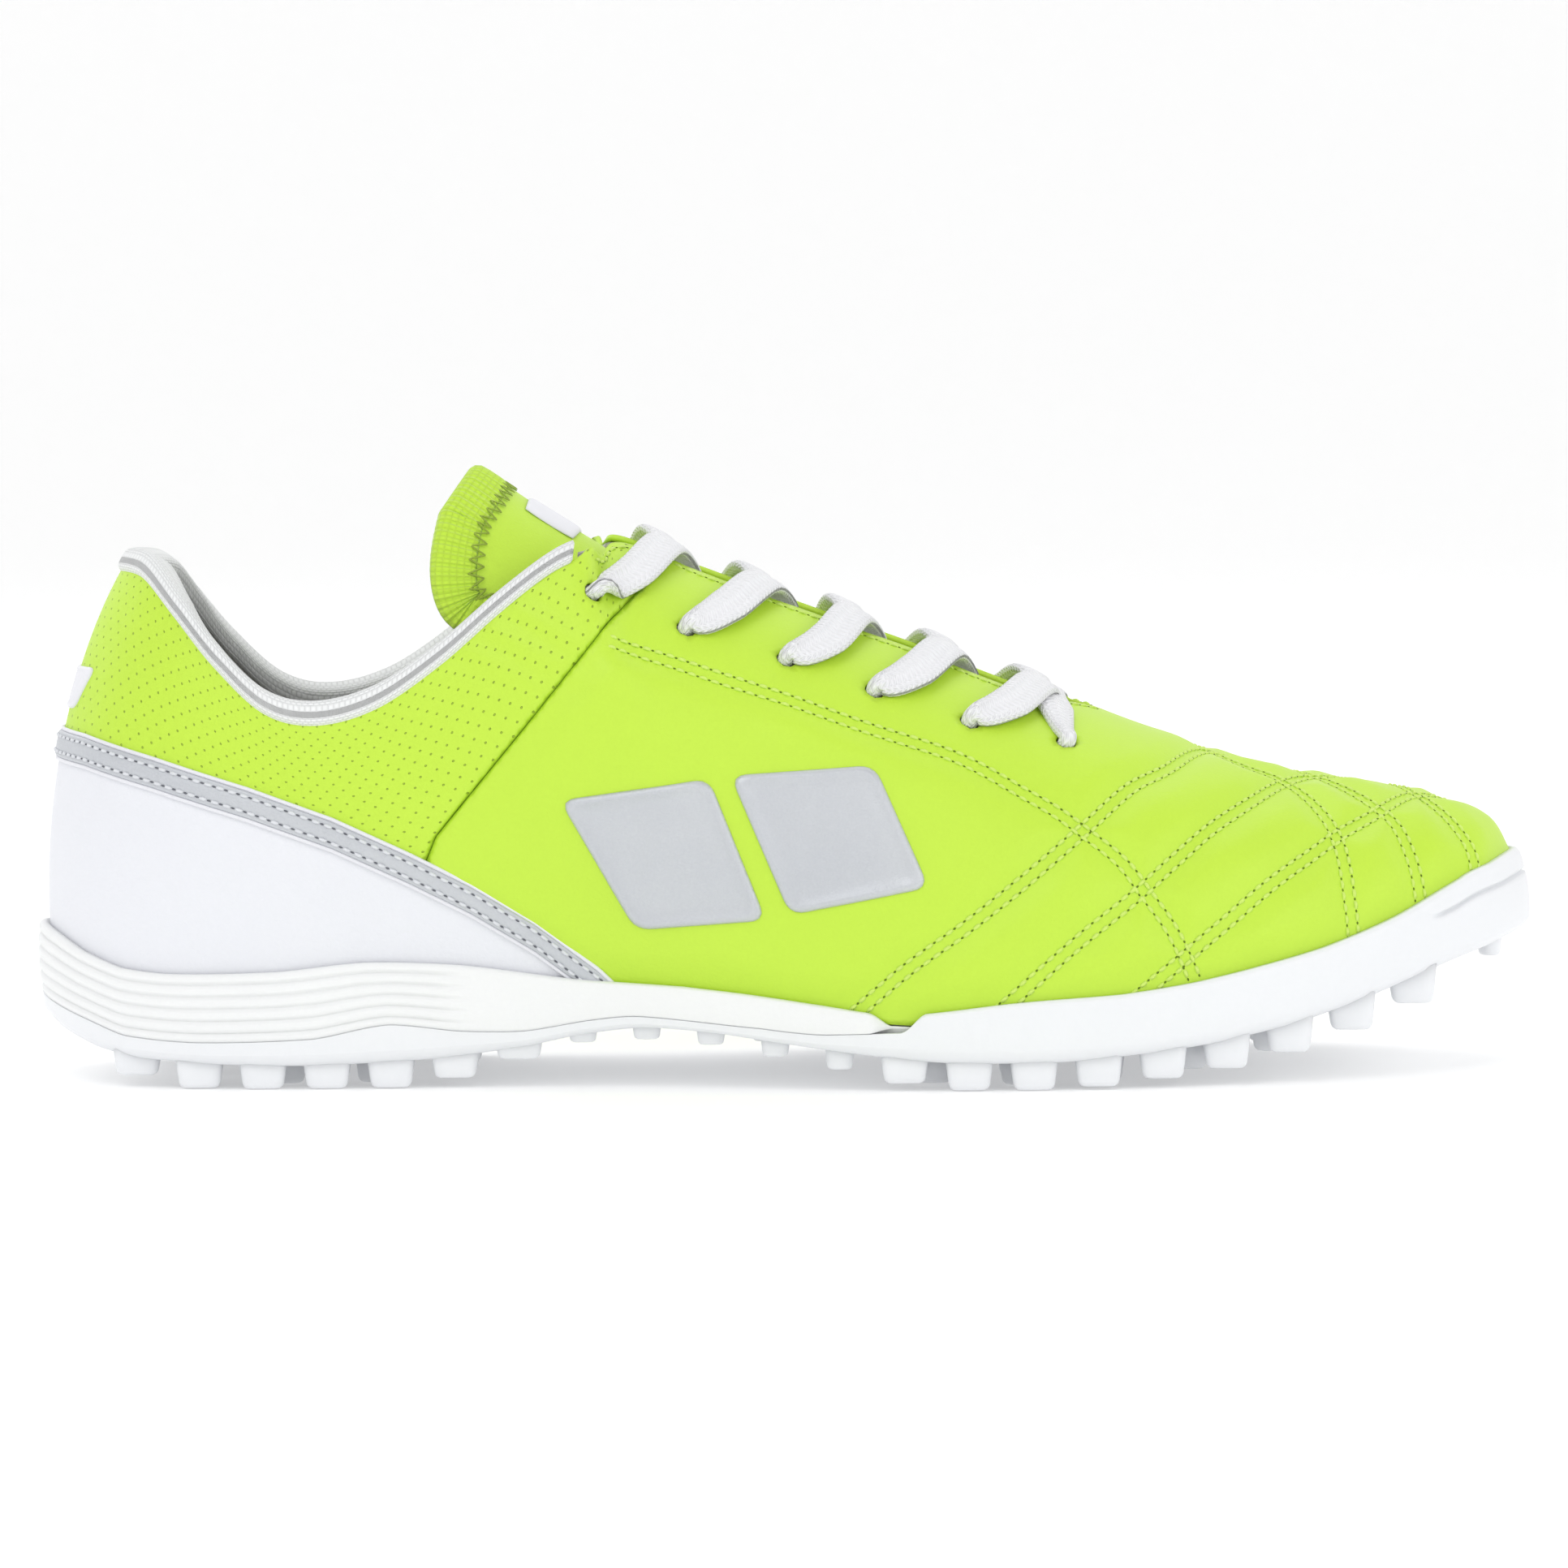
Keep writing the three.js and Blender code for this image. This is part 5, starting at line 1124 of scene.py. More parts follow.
def binding_knit():
    return finish("binding knit", (0.97, 0.975, 0.975), (0.88, 0.89, 0.9), 0.8, 3000.0, 0.3, 0.00005,
                  sheen=0.3,
                  weave=(0.0011, 0.0009, 1.0), weave_depth=0.00014, gap_shade=0.22)


def tongue_knit():
    return finish("lime elastic knit", shade_of(lime(), 0.99), shade_of(lime(), 0.88), 0.8, 3000.0, 0.3,
                  0.00005,
                  sheen=0.3, weave=(0.0009, 0.0013, 0.0), weave_depth=0.00012, gap_shade=0.16)


def lace_weave():
    return finish("lace weave", tuple(bpy.context.scene.shoe_colours.lace), (0.8, 0.81, 0.83), 0.75, 4000.0,
                  0.25,
                  0.00004, sheen=0.25, pattern=herringbone)


def show(obj, slot_name, *nodes):
    if nodes:
        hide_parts(*nodes)
    return obj


# ---------------------------------------------------------------- settings
class ShoeSizes(bpy.types.PropertyGroup):
    """Sizes of the looks that the frame leaves open."""

    puff: bpy.props.FloatProperty(name="Quilting", description="Height of the pillows between stitch rows",
                                  default=0.0012, min=0.0, max=0.002, unit="LENGTH", precision=4)
    stitch: bpy.props.FloatProperty(name="Stitch pitch", description="Length of one stitch and its gap",
                                    default=0.0023, min=0.0015, max=0.004, unit="LENGTH", precision=4)
    lace_puff: bpy.props.FloatProperty(name="Lace thickness",
                                       description="Thickness of the flat lace at its middle",
                                       default=0.0022, min=0.001, max=0.003, unit="LENGTH", precision=4)
    groove: bpy.props.FloatProperty(name="Midsole groove",
                                    description="Depth of the lines on the midsole's heel",
                                    default=0.0005, min=0.0, max=0.001, unit="LENGTH", precision=4)


class ShoeColours(bpy.types.PropertyGroup):
    """Main colours of the shoe, as seen on a screen."""

    lime: bpy.props.FloatVectorProperty(name="Upper", description="Lime of the upper and tongue", size=3,
                                        default=(0.785, 0.935, 0.25), min=0.0, max=1.0, subtype="COLOR")
    white: bpy.props.FloatVectorProperty(name="Heel overlay", description="White of the heel overlay", size=3,
                                         default=(0.925, 0.93, 0.95), min=0.0, max=1.0, subtype="COLOR")
    silver: bpy.props.FloatVectorProperty(name="Trim", description="Silver of the trim and side marks",
                                          size=3,
                                          default=(0.83, 0.84, 0.85), min=0.0, max=1.0, subtype="COLOR")
    lining: bpy.props.FloatVectorProperty(name="Lining", description="Grey of the lining mesh", size=3,
                                          default=(0.8, 0.79, 0.76), min=0.0, max=1.0, subtype="COLOR")
    lace: bpy.props.FloatVectorProperty(name="Lace", description="White of the lace", size=3,
                                        default=(0.97, 0.97, 0.98), min=0.0, max=1.0, subtype="COLOR")


class ShoeOperator(bpy.types.Operator):
    """Common part of the operators: makes one group of pieces."""

    bl_options = {"REGISTER", "UNDO"}

    def execute(self, context):
        self.make(context.scene.shoe_sizes)
        return {"FINISHED"}


# ---------------------------------------------------------------- stage
class SHOE_OT_stage(ShoeOperator):
    """Camera, pale floor and soft studio light"""

    bl_idname = "shoe.stage"
    bl_label = "Stage"

    def make(self, sizes):
        scene = bpy.context.scene
        scene.view_settings.view_transform = "Standard"
        camera = bpy.data.cameras.new("camera")
        camera.sensor_width = 36
        distance, width = 1.6, 0.3014
        camera.lens = camera.sensor_width * distance / width
        view = bpy.data.objects.new("camera", camera)
        aim = Vector((CENTRE[0] * MM, CENTRE[1] * MM, 0.0545))
        tilt, roll = math.radians(4), math.radians(0.5)
        view.location = aim + Vector((0, -math.cos(tilt), math.sin(tilt))) * distance
        view.rotation_euler = Euler((math.pi / 2 - tilt, roll, 0), "XYZ")
        scene.collection.objects.link(view)
        scene.camera = view
        world = bpy.data.worlds.new("studio")
        scene.world = world
        world.use_nodes = True
        world.node_tree.nodes["Background"].inputs["Color"].default_value = (1, 1, 1, 1)
        world.node_tree.nodes["Background"].inputs["Strength"].default_value = 0.4
        for name, place, size, power in (("key", (-0.5, -1.0, 1.5), 0.9, 5.2),
                                         ("fill", (1.1, -0.9, 0.7), 1.1, 1.9),
                                         ("top", (0.1, 0.5, 1.5), 1.2, 4.8),
                                         ("back", (-0.9, 1.1, 0.9), 0.9, 1.9)):
            lamp = bpy.data.lights.new(name, "AREA")
            lamp.size = size
            lamp.energy = power
            light = bpy.data.objects.new(name, lamp)
            light.location = place
            light.rotation_euler = (Vector((0, 0, 0.04)) - Vector(place)).to_track_quat("-Z", "Y").to_euler()
            scene.collection.objects.link(light)
        paper = bpy.data.materials.new("paper")
        paper.use_nodes = True
        shader = paper.node_tree.nodes["Principled BSDF"]
        shader.inputs["Base Color"].default_value = (0.93, 0.93, 0.93, 1)
        shader.inputs["Roughness"].default_value = 0.9
        shader.inputs["Emission Color"].default_value = (1, 1, 1, 1)
        shader.inputs["Emission Strength"].default_value = 0.215
        steps = 28
        angles = np.linspace(0, math.pi / 2, steps)
        reach, bend = 3.0, 0.8
        profile = [(0.0, 0.0)] + [(reach - bend + bend * math.sin(a), bend - bend * math.cos(a))
                                  for a in angles]
        profile.append((reach, 4.0))
        around = 72
        points = [(0, 0, -0.0002)]
        faces = []
        for r, h in profile[1:]:
            points += [(r * math.cos(k * 2 * math.pi / around), r * math.sin(k * 2 * math.pi / around),
                        h - 0.0002)
                       for k in range(around)]
        for k in range(around):
            m = (k + 1) % around
            faces.append((0, 1 + k, 1 + m))
            for i in range(len(profile) - 2):
                a = 1 + i * around
                faces.append((a + k, a + around + k, a + around + m, a + m))
        mesh = bpy.data.meshes.new("floor")
        mesh.from_pydata(points, [], faces)
        mesh.polygons.foreach_set("use_smooth", [True] * len(mesh.polygons))
        mesh.materials.append(paper)
        floor = bpy.data.objects.new("floor", mesh)
        scene.collection.objects.link(floor)


# ---------------------------------------------------------------- lace
class SHOE_OT_lace(ShoeOperator):
    """Flat woven lace through twelve eyelets, with its two tips tucked inside"""

    bl_idname = "shoe.lace"
    bl_label = "Lace"

    def make(self, sizes):
        route = lace_route()
        places = np.array([r[0] for r in route])
        flats = np.array([r[1] for r in route])
        widths = np.array([r[2] for r in route], float)
        per = 6
        line = centripetal(places, per)
        at = np.arange(len(line)) / per
        order = np.arange(len(route))
        flat = unit(np.stack([np.interp(at, order, flats[:, k]) for k in range(3)], axis=1))
        width = np.interp(at, order, widths)
        tight = smooth(5.5, 3.3, width)
        along = unit(np.gradient(line, axis=0))
        across = unit(np.cross(along, flat))
        face = np.cross(across, along)
        thick = lerp(sizes.lace_puff * 1000, 2.3, tight)
        steps = 20
        angle = np.arange(steps) * 2 * math.pi / steps
        c, s = np.cos(angle), np.sin(angle)
        ring_x = np.sign(c) * np.abs(c) ** 0.8
        ring_z = np.sign(s) * np.abs(s) ** 0.75
        rings = (line[:, None] + across[:, None] * (ring_x[None, :, None] * (width / 2)[:, None, None])
                 + face[:, None] * (ring_z[None, :, None] * (thick / 2)[:, None, None]))
        points, faces = tube(rings)
        run = lengths(line)
        round_it = np.interp(angle, [0, 2 * math.pi], [0, 2]) * LACE_WIDTH
        uv = np.stack(np.broadcast_arrays(run[:, None], round_it[None]), axis=-1).reshape(-1, 2)
        uv = np.vstack([uv, [[0, 0], [run[-1], 0]]]) * MM
        obj = build("lace", points, faces, lace_weave(), uv=uv)
        show(obj, "lace_white", "lace")
        clear = finish("clear plastic tip", (0.9, 0.92, 0.93), (0.8, 0.82, 0.84), 0.2, 800.0, 0.1, 0.00001,
                       coat=0.5)
        for name, end, before in (("aglet_lateral", places[0], places[1]),
                                  ("aglet_medial", places[-1], places[-2])):
            d = unit(end - before)
            a = unit(np.cross(d, [0, 0, 1.0]))
            b = np.cross(d, a)
            turn = np.arange(16) * math.pi / 8
            stack = [(0.3, 1.0), (0.6, 1.28), (14.9, 1.28), (15.9, 1.1), (16.3, 0.6)]
            rings = [[end + d * h + (a * math.cos(q) + b * math.sin(q)) * r for q in turn] for h, r in stack]
            points, faces = tube(rings)
            tip = build(name.replace("aglet", "lace_tip"), points, faces, clear)
            show(tip, "aglet_clear", name)


# ---------------------------------------------------------------- upper
class SHOE_OT_upper(ShoeOperator):
    """Quilted lime vamp, perforated ankle quarters and white heel overlay"""

    bl_idname = "shoe.upper"
    bl_label = "Upper"

    def make(self, sizes):
        s = skin()
        band, seam, eye = (f.ravel() for f in s.fields)
        points = s.points.reshape(-1, 3)
        lateral = (s.u <= LAST).ravel()
        uv = arc_uv(s.u, s.v).reshape(-1, 2)
        quads, triangles = s.panel_faces()

        def sign(faces, field):
            return field[faces].sum(1)

        zones = {
            "vamp": (lambda f: (sign(f, band) > 0) & (sign(f, seam) > 0), lime_skin(), "upper_lime",
                     ("vamp",)),
            "ankle_quarter_lateral": (lambda f: (sign(f, band) > 0) & (sign(f, seam) <= 0)
                                      & (lateral[f].mean(1) > 0.5),
                                      lime_perforated(), "upper_lime", ("ankle_quarter_lateral",)),
            "ankle_quarter_medial": (lambda f: (sign(f, band) > 0) & (sign(f, seam) <= 0)
                                     & (lateral[f].mean(1) <= 0.5),
                                     lime_perforated(), "upper_lime", ("ankle_quarter_medial",)),
            "heel_overlay": (lambda f: sign(f, band) <= 0, white_skin(), "upper_white", ("heel_overlay",)),
        }
        for name, (belongs, material, slot_name, nodes) in zones.items():
            kept = []
            for faces in (quads, triangles):
                keep = belongs(faces) & (sign(faces, eye) > 0)
                kept += faces[keep].tolist()
            used = np.unique(np.concatenate([np.array(f) for f in kept]))
            back = np.full(len(points), -1)
            back[used] = np.arange(len(used))
            own = points[used]
            if name != "heel_overlay":
                beside = np.abs(seam[used])
                lap = SEAM_LAP * (name == "vamp") * (1 - smooth(0, SEAM_LAP_REACH, beside))
                step = lap - CREASE * (1 - smooth(0, CREASE_REACH, beside))
                own = own + normal_at(s.u.ravel()[used], s.v.ravel()[used]) * step[:, None]
            _, first, merged = np.unique(np.round(own, 3), axis=0, return_index=True, return_inverse=True)
            merged = merged.ravel()
            faces = []
            for f in kept:
                seen = list(dict.fromkeys(int(merged[back[k]]) for k in f))
                if len(seen) > 2:
                    faces.append(seen)
            obj = build(name, own[first], faces, material, uv=uv[used][first])
            thicken(obj, OVERLAY if name == "heel_overlay" else PANEL)
            show(obj, slot_name, *nodes)


class SHOE_OT_stitching(ShoeOperator):
    """Double rows of the quilting, edge rows of the throat and trim, and dark beads of painted shade in their needle
    holes
    """

    bl_idname = "shoe.stitching"
    bl_label = "Stitching"

    def make(self, sizes):
        s = skin()
        pitch = sizes.stitch * 1000
        quilting, trim = Seams(), Seams()
        for line in s.lines:
            for places, normals in double_row(line):
                quilting.row(places, normals, pitch)
        for medial in (False, True):
            us = np.linspace(CORNER + 0.4, THROAT_END - 0.1, 200)
            us = AROUND - us if medial else us
            edge = side(us)[2]
            line = surface(us, edge)
            inset = 0.035
            inside = surface(us, edge - inset)
            step = np.linalg.norm(line - inside, axis=1)
            row = surface(us, edge - inset * THROAT_ROW / np.maximum(step, 0.5))
            hits = [s.nearest(p) for p in every(row, 0.8)]
            quilting.row(np.array([h[0] for h in hits]), np.array([h[1] for h in hits]), pitch)
        for share in (0.22, 0.78):
            places, normals = band_line(share, 1.0)
            trim.row(places, normals, pitch * 1.05, share=0.66, radius=0.3)
        # the last colour of each is painted shade for the needle holes
        for name, seams, base, painted_shade in (("quilting_thread", quilting, (0.86, 0.975, 0.45), (0.4, 0.5, 0.1)),
                                        ("trim_thread", trim, (0.92, 0.93, 0.95), (0.42, 0.43, 0.46))):
            points, faces = beads(seams.threads, THREAD, 6)
            slot_name = "upper_lime" if name == "quilting_thread" else "trim_silver"
            show(build(name, points, faces, thread(name.replace("_", " "), base)), slot_name)
            points, faces = beads(seams.hole_shades, HOLE_SHADE_BEAD, 6, (0.8, 0.35))
            show(build(name + "_holes", points, faces,
                       finish(name + " holes", painted_shade, shade_of(painted_shade, 0.7), 0.9)), slot_name)


def band_line(share, lift):
    """A row along the trim band at a share of its width, with normals."""
    us = np.concatenate([np.linspace(AROUND - BAND_REACH, AROUND, 250)[:-1], np.linspace(0, BAND_REACH, 250)])
    us = us % AROUND
    low = rise_to(us, lambda x: band_height(x) - BAND_WIDTH / 2)
    high = rise_to(us, lambda x: band_height(x) + BAND_WIDTH / 2)
    v = lerp(low, high, share)
    keep = bare(us, v)[:, 2] > height_at(RIM_TOP, bare(us, v)[:, 0]) - BAND_TAIL
    return surface(us[keep], v[keep], lift), normal_at(us[keep], v[keep])


class SHOE_OT_trim(ShoeOperator):
    """Silver trim band with its piping, the two plain side marks and the heel print"""

    bl_idname = "shoe.trim"
    bl_label = "Trim and marks"

    def make(self, sizes):
        shares = np.array([0, 0.03, 0.1, 0.22, 0.34, 0.5, 0.66, 0.78, 0.9, 0.97, 1])
        rises = np.array([0.35, 0.75, 1.0, 0.82, 1.0, 1.05, 1.0, 0.82, 1.0, 0.75, 0.35])
        rows = [band_line(a, b)[0] for a, b in zip(shares, rises)]
        count = min(len(r) for r in rows)
        rows = [every(r, lengths(r)[-1] / (count - 1))[:count] for r in rows]
        count = min(len(r) for r in rows)
        outer = np.stack([r[:count] for r in rows], axis=1)
        under = [band_line(a, 0.0)[0] for a in shares]
        under = [every(r, lengths(r)[-1] / (count - 1))[:count] for r in under]
        size = min(min(len(r) for r in under), count)
        inner = np.stack([r[:size] for r in under], axis=1)
        outer = outer[:size]
        points, faces = slab_mesh(outer, inner)
        show(build("heel_trim_band", points, faces, silver_foil()), "trim_silver", "heel_trim_band")
        for name, share in (("trim_piping_upper", 1.06), ("trim_piping_lower", -0.06)):
            line = every(band_line(share, 0.35)[0], 1.2)
            ahead = unit(np.gradient(line, axis=0))
            up = unit(np.cross(ahead, np.cross([0, 0, 1.0], ahead)))
            out = np.cross(ahead, up)
            turn = np.arange(8) * math.pi / 4
            rings = [[p + (u * math.cos(q) + o * math.sin(q)) * 0.42 for q in turn] for p, u,
                     o in zip(line, up, out)]
            points, faces = tube(rings)
            show(build(name, points, faces, white_film()), "badge_white")
        for name, outline in (("side_badge_rear", REAR_BADGE), ("side_badge_front", FRONT_BADGE)):
            for medial in (False, True):
                label = name + ("_medial" if medial else "_lateral")
                self.mark(label, outline, medial, silver_foil(), "trim_silver")
        self.heel_print()

    def outline(self, corners, radius, count):
        """Rounded outline through the corners, evenly spaced."""
        made = []
        n = len(corners)
        corners = np.array(corners, float)
        for i in range(n):
            p, before, after = corners[i], corners[i - 1], corners[(i + 1) % n]
            a, b = p + unit(before - p) * radius, p + unit(after - p) * radius
            for t in np.linspace(0, 1, 7):
                made.append(lerp(lerp(a, p, t), lerp(p, b, t), t))
        made.append(made[0])
        return every(np.array(made), lengths(np.array(made))[-1] / count)[:count]

    def fan(self, name, edge, project, material, slot_name, nodes, high=0.55, rim=0.3):
        """A thin film over a rounded outline, with a narrow raised rim."""
        centre = edge.mean(0)
        reach = np.linalg.norm(edge - centre, axis=1).mean()
        rings, count = [], len(edge)
        shares = [0.12, 0.3, 0.5, 0.7, 1 - 1.9 / reach, 1 - 1.5 / reach, 1 - 0.9 / reach, 1 - 0.35 / reach,
                  1.0, 1.0]
        rises = [high] * 5 + [high + rim, high + rim, high, high * 0.5, -0.3]
        for share, rise in zip(shares, rises):
            ring_points = []
            for q in lerp(centre, edge, share):
                place, normal = project(q)
                ring_points.append(place + normal * rise)
            rings.append(ring_points)
        place, normal = project(centre)
        points = np.vstack([np.array(rings).reshape(-1, 3), (place + normal * high)[None]])
        faces = []
        middle = len(rings) * count
        for j in range(count):
            m = (j + 1) % count
            faces.append((middle, j, m))
            for i in range(len(rings) - 1):
                faces.append((i * count + j, (i + 1) * count + j, (i + 1) * count + m, i * count + m))
        faces.append(tuple(reversed(range((len(rings) - 1) * count, middle))))
        area = sum(np.cross(points[f[0]] - points[middle], points[f[1]] - points[middle]) @ normal
                   for f in ((j, (j + 1) % count) for j in range(count)))
        if area < 0:
            faces = [tuple(reversed(f)) for f in faces]
        show(build(name, points, faces, material), slot_name, *nodes)

    def mark(self, name, corners, medial, material, slot_name):
        edge = self.outline(corners, 3.0, 96)
        self.fan(name, edge, lambda q: skin().cast(q[0], q[1], medial), material, slot_name, (name,))

    def heel_print(self):
        edge = self.outline(HEEL_BADGE, 2.0, 72)

        def project(q):
            place, normal, _, _ = skin().final.ray_cast((-220, q[0], q[1]), (1, 0, 0))
            return np.array(place), np.array(normal)

        self.fan("heel_badge", edge, project, white_film(), "badge_white", ("heel_badge",), 0.5, 0.15)


# ---------------------------------------------------------------- inside
class SHOE_OT_lining(ShoeOperator):
    """Padded collar lining, front lining and knitted collar binding"""

    bl_idname = "shoe.lining"
    bl_label = "Lining and binding"

    def make(self, sizes):
        columns, rows = AROUND * 8, 48
        u = np.repeat((np.arange(columns) / 8)[:, None], rows + 1, axis=1)
        v = 0.02 + np.linspace(0, 1, rows + 1)[None] * (top_share(u[:, 0]) - 0.025)[:, None]
        rear = bare(u, v)[..., 0] < seam_x(bare(u, v)[..., 2])
        inner = surface(u, v, lining_in(u, v))
        outer = surface(u, v, -1.45 - 1.0 * (1 - smooth(0.45, 0.6, v)))
        uv = arc_uv(u, v).reshape(-1, 2)
        faces = grid_faces(columns, rows + 1, True)
        behind = rear.ravel()[faces].mean(1) > 0.5
        for name, keep, nodes, slot_name in (
                ("collar_lining", behind, ("collar_lining", "collar_foam"), "lining_mesh"),
                ("vamp_lining", ~behind, ("vamp_lining",), "lining_mesh")):
            points, own, used = pick(inner.reshape(-1, 3), faces, keep)
            back, _, _ = pick(outer.reshape(-1, 3), faces, keep)
            count = len(points)
            edges = {}
            for f in own.tolist():
                for a, b in zip(f, f[1:] + f[:1]):
                    edges[a, b] = True
            border = [(a, b) for a, b in edges if (b, a) not in edges]
            made = own[:, ::-1].tolist() + (own + count).tolist()
            made += [[a, b, b + count, a + count] for a, b in border]
            obj = build(name, np.vstack([points, back]), made, lining_mesh(),
                        uv=np.vstack([uv[used], uv[used]]))
            show(obj, slot_name, *nodes)
        self.binding()

    def binding(self):
        end = CORNER - 0.5
        us = np.linspace(-end, end, 420) % AROUND
        cut = surface(us, np.full(us.shape, COLLAR_TOP + 0.006))
        up = unit(surface(us, np.ones_like(us)) - surface(us, np.full(us.shape, COLLAR_TOP)))
        out = normal_at(us, np.full(us.shape, COLLAR_TOP))
        deep = -lining_in(us, np.ones_like(us)) + 0.9  # it reaches over the lining's edge
        middle = (BINDING_OUT - deep) / 2
        half = (BINDING_OUT + deep) / 2
        turn = np.arange(22) * 2 * math.pi / 22
        c, s = np.cos(turn), np.sin(turn)
        cx, sz = np.sign(c) * np.abs(c) ** 0.5, np.sign(s) * np.abs(s) ** 0.6
        rings = (cut[:, None] + out[:, None] * (middle[:, None] + half[:, None] * cx)[..., None]
                 + up[:, None] * (BINDING_RISE + BINDING_HALF * sz)[None, :, None])
        rings[0] = lerp(rings[0], rings[0].mean(0), 0.25)
        rings[-1] = lerp(rings[-1], rings[-1].mean(0), 0.25)
        points, faces = tube(rings)
        run = lengths(cut)
        uv = np.stack(np.broadcast_arrays(run[:, None], (turn * 3.2)[None]), axis=-1).reshape(-1, 2)
        uv = np.vstack([uv, [[0, 0], [run[-1], 0]]]) * MM
        show(build("collar_binding", points, faces, binding_knit(), uv=uv), "binding_grey", "collar_binding")


class SHOE_OT_sockliner(ShoeOperator):
    """Removable footbed with a soft cloth top, and the hidden stiffening layers"""

    bl_idname = "shoe.sockliner"
    bl_label = "Sockliner and hidden layers"

    def make(self, sizes):
        us = np.arange(AROUND * 8) / 8
        inside = LINING - LINING_OUT + GAP
        x = foot_x(us)
        base = liner_base(x)
        rise = 1.2 * smooth(-60, -125, x)
        rows = [foot_point(us, -inside - 1.2, base), foot_point(us, -inside - 0.9, base),
                foot_point(us, -inside - 0.6, base + FOOTBED * 0.5),
                foot_point(us, -inside - 0.7, base + FOOTBED + rise),
                foot_point(us, -inside - 1.4, base + FOOTBED + rise),
                foot_point(us, -inside - 4.5, base + FOOTBED)]
        points, faces = loops_mesh(soften(rows), 14)
        cloth = finish("footbed cloth", (0.82, 0.82, 0.81), (0.62, 0.62, 0.61), 0.85, 2600.0, 0.3, 0.00008,
                       sheen=0.3, weave=(0.0013, 0.0013, 1.0), weave_depth=0.0002)
        obj = build("sockliner", points, faces, cloth, uv=points[:, :2] * MM, body=None)
        show(obj, "sockliner", "sockliner_front", "sockliner_rear")
        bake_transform(obj)
        card = finish("pressed board", (0.72, 0.66, 0.54), (0.5, 0.45, 0.36), 0.85, 1200.0, 0.5)
        stiff = finish("stiff backing", (0.86, 0.86, 0.84), (0.7, 0.7, 0.68), 0.8, 1200.0, 0.4)
        for name, material in (("insole_board", card), ("heel_stiffener", stiff), ("toe_puff", stiff),
                               ("eyestay_backing_lateral", stiff), ("eyestay_backing_medial", stiff)):
            mesh_object = bpy.data.objects[name]
            if not mesh_object.material_slots:
                mesh_object.data.materials.append(material)
            for material_slot in mesh_object.material_slots:
                material_slot.material = material


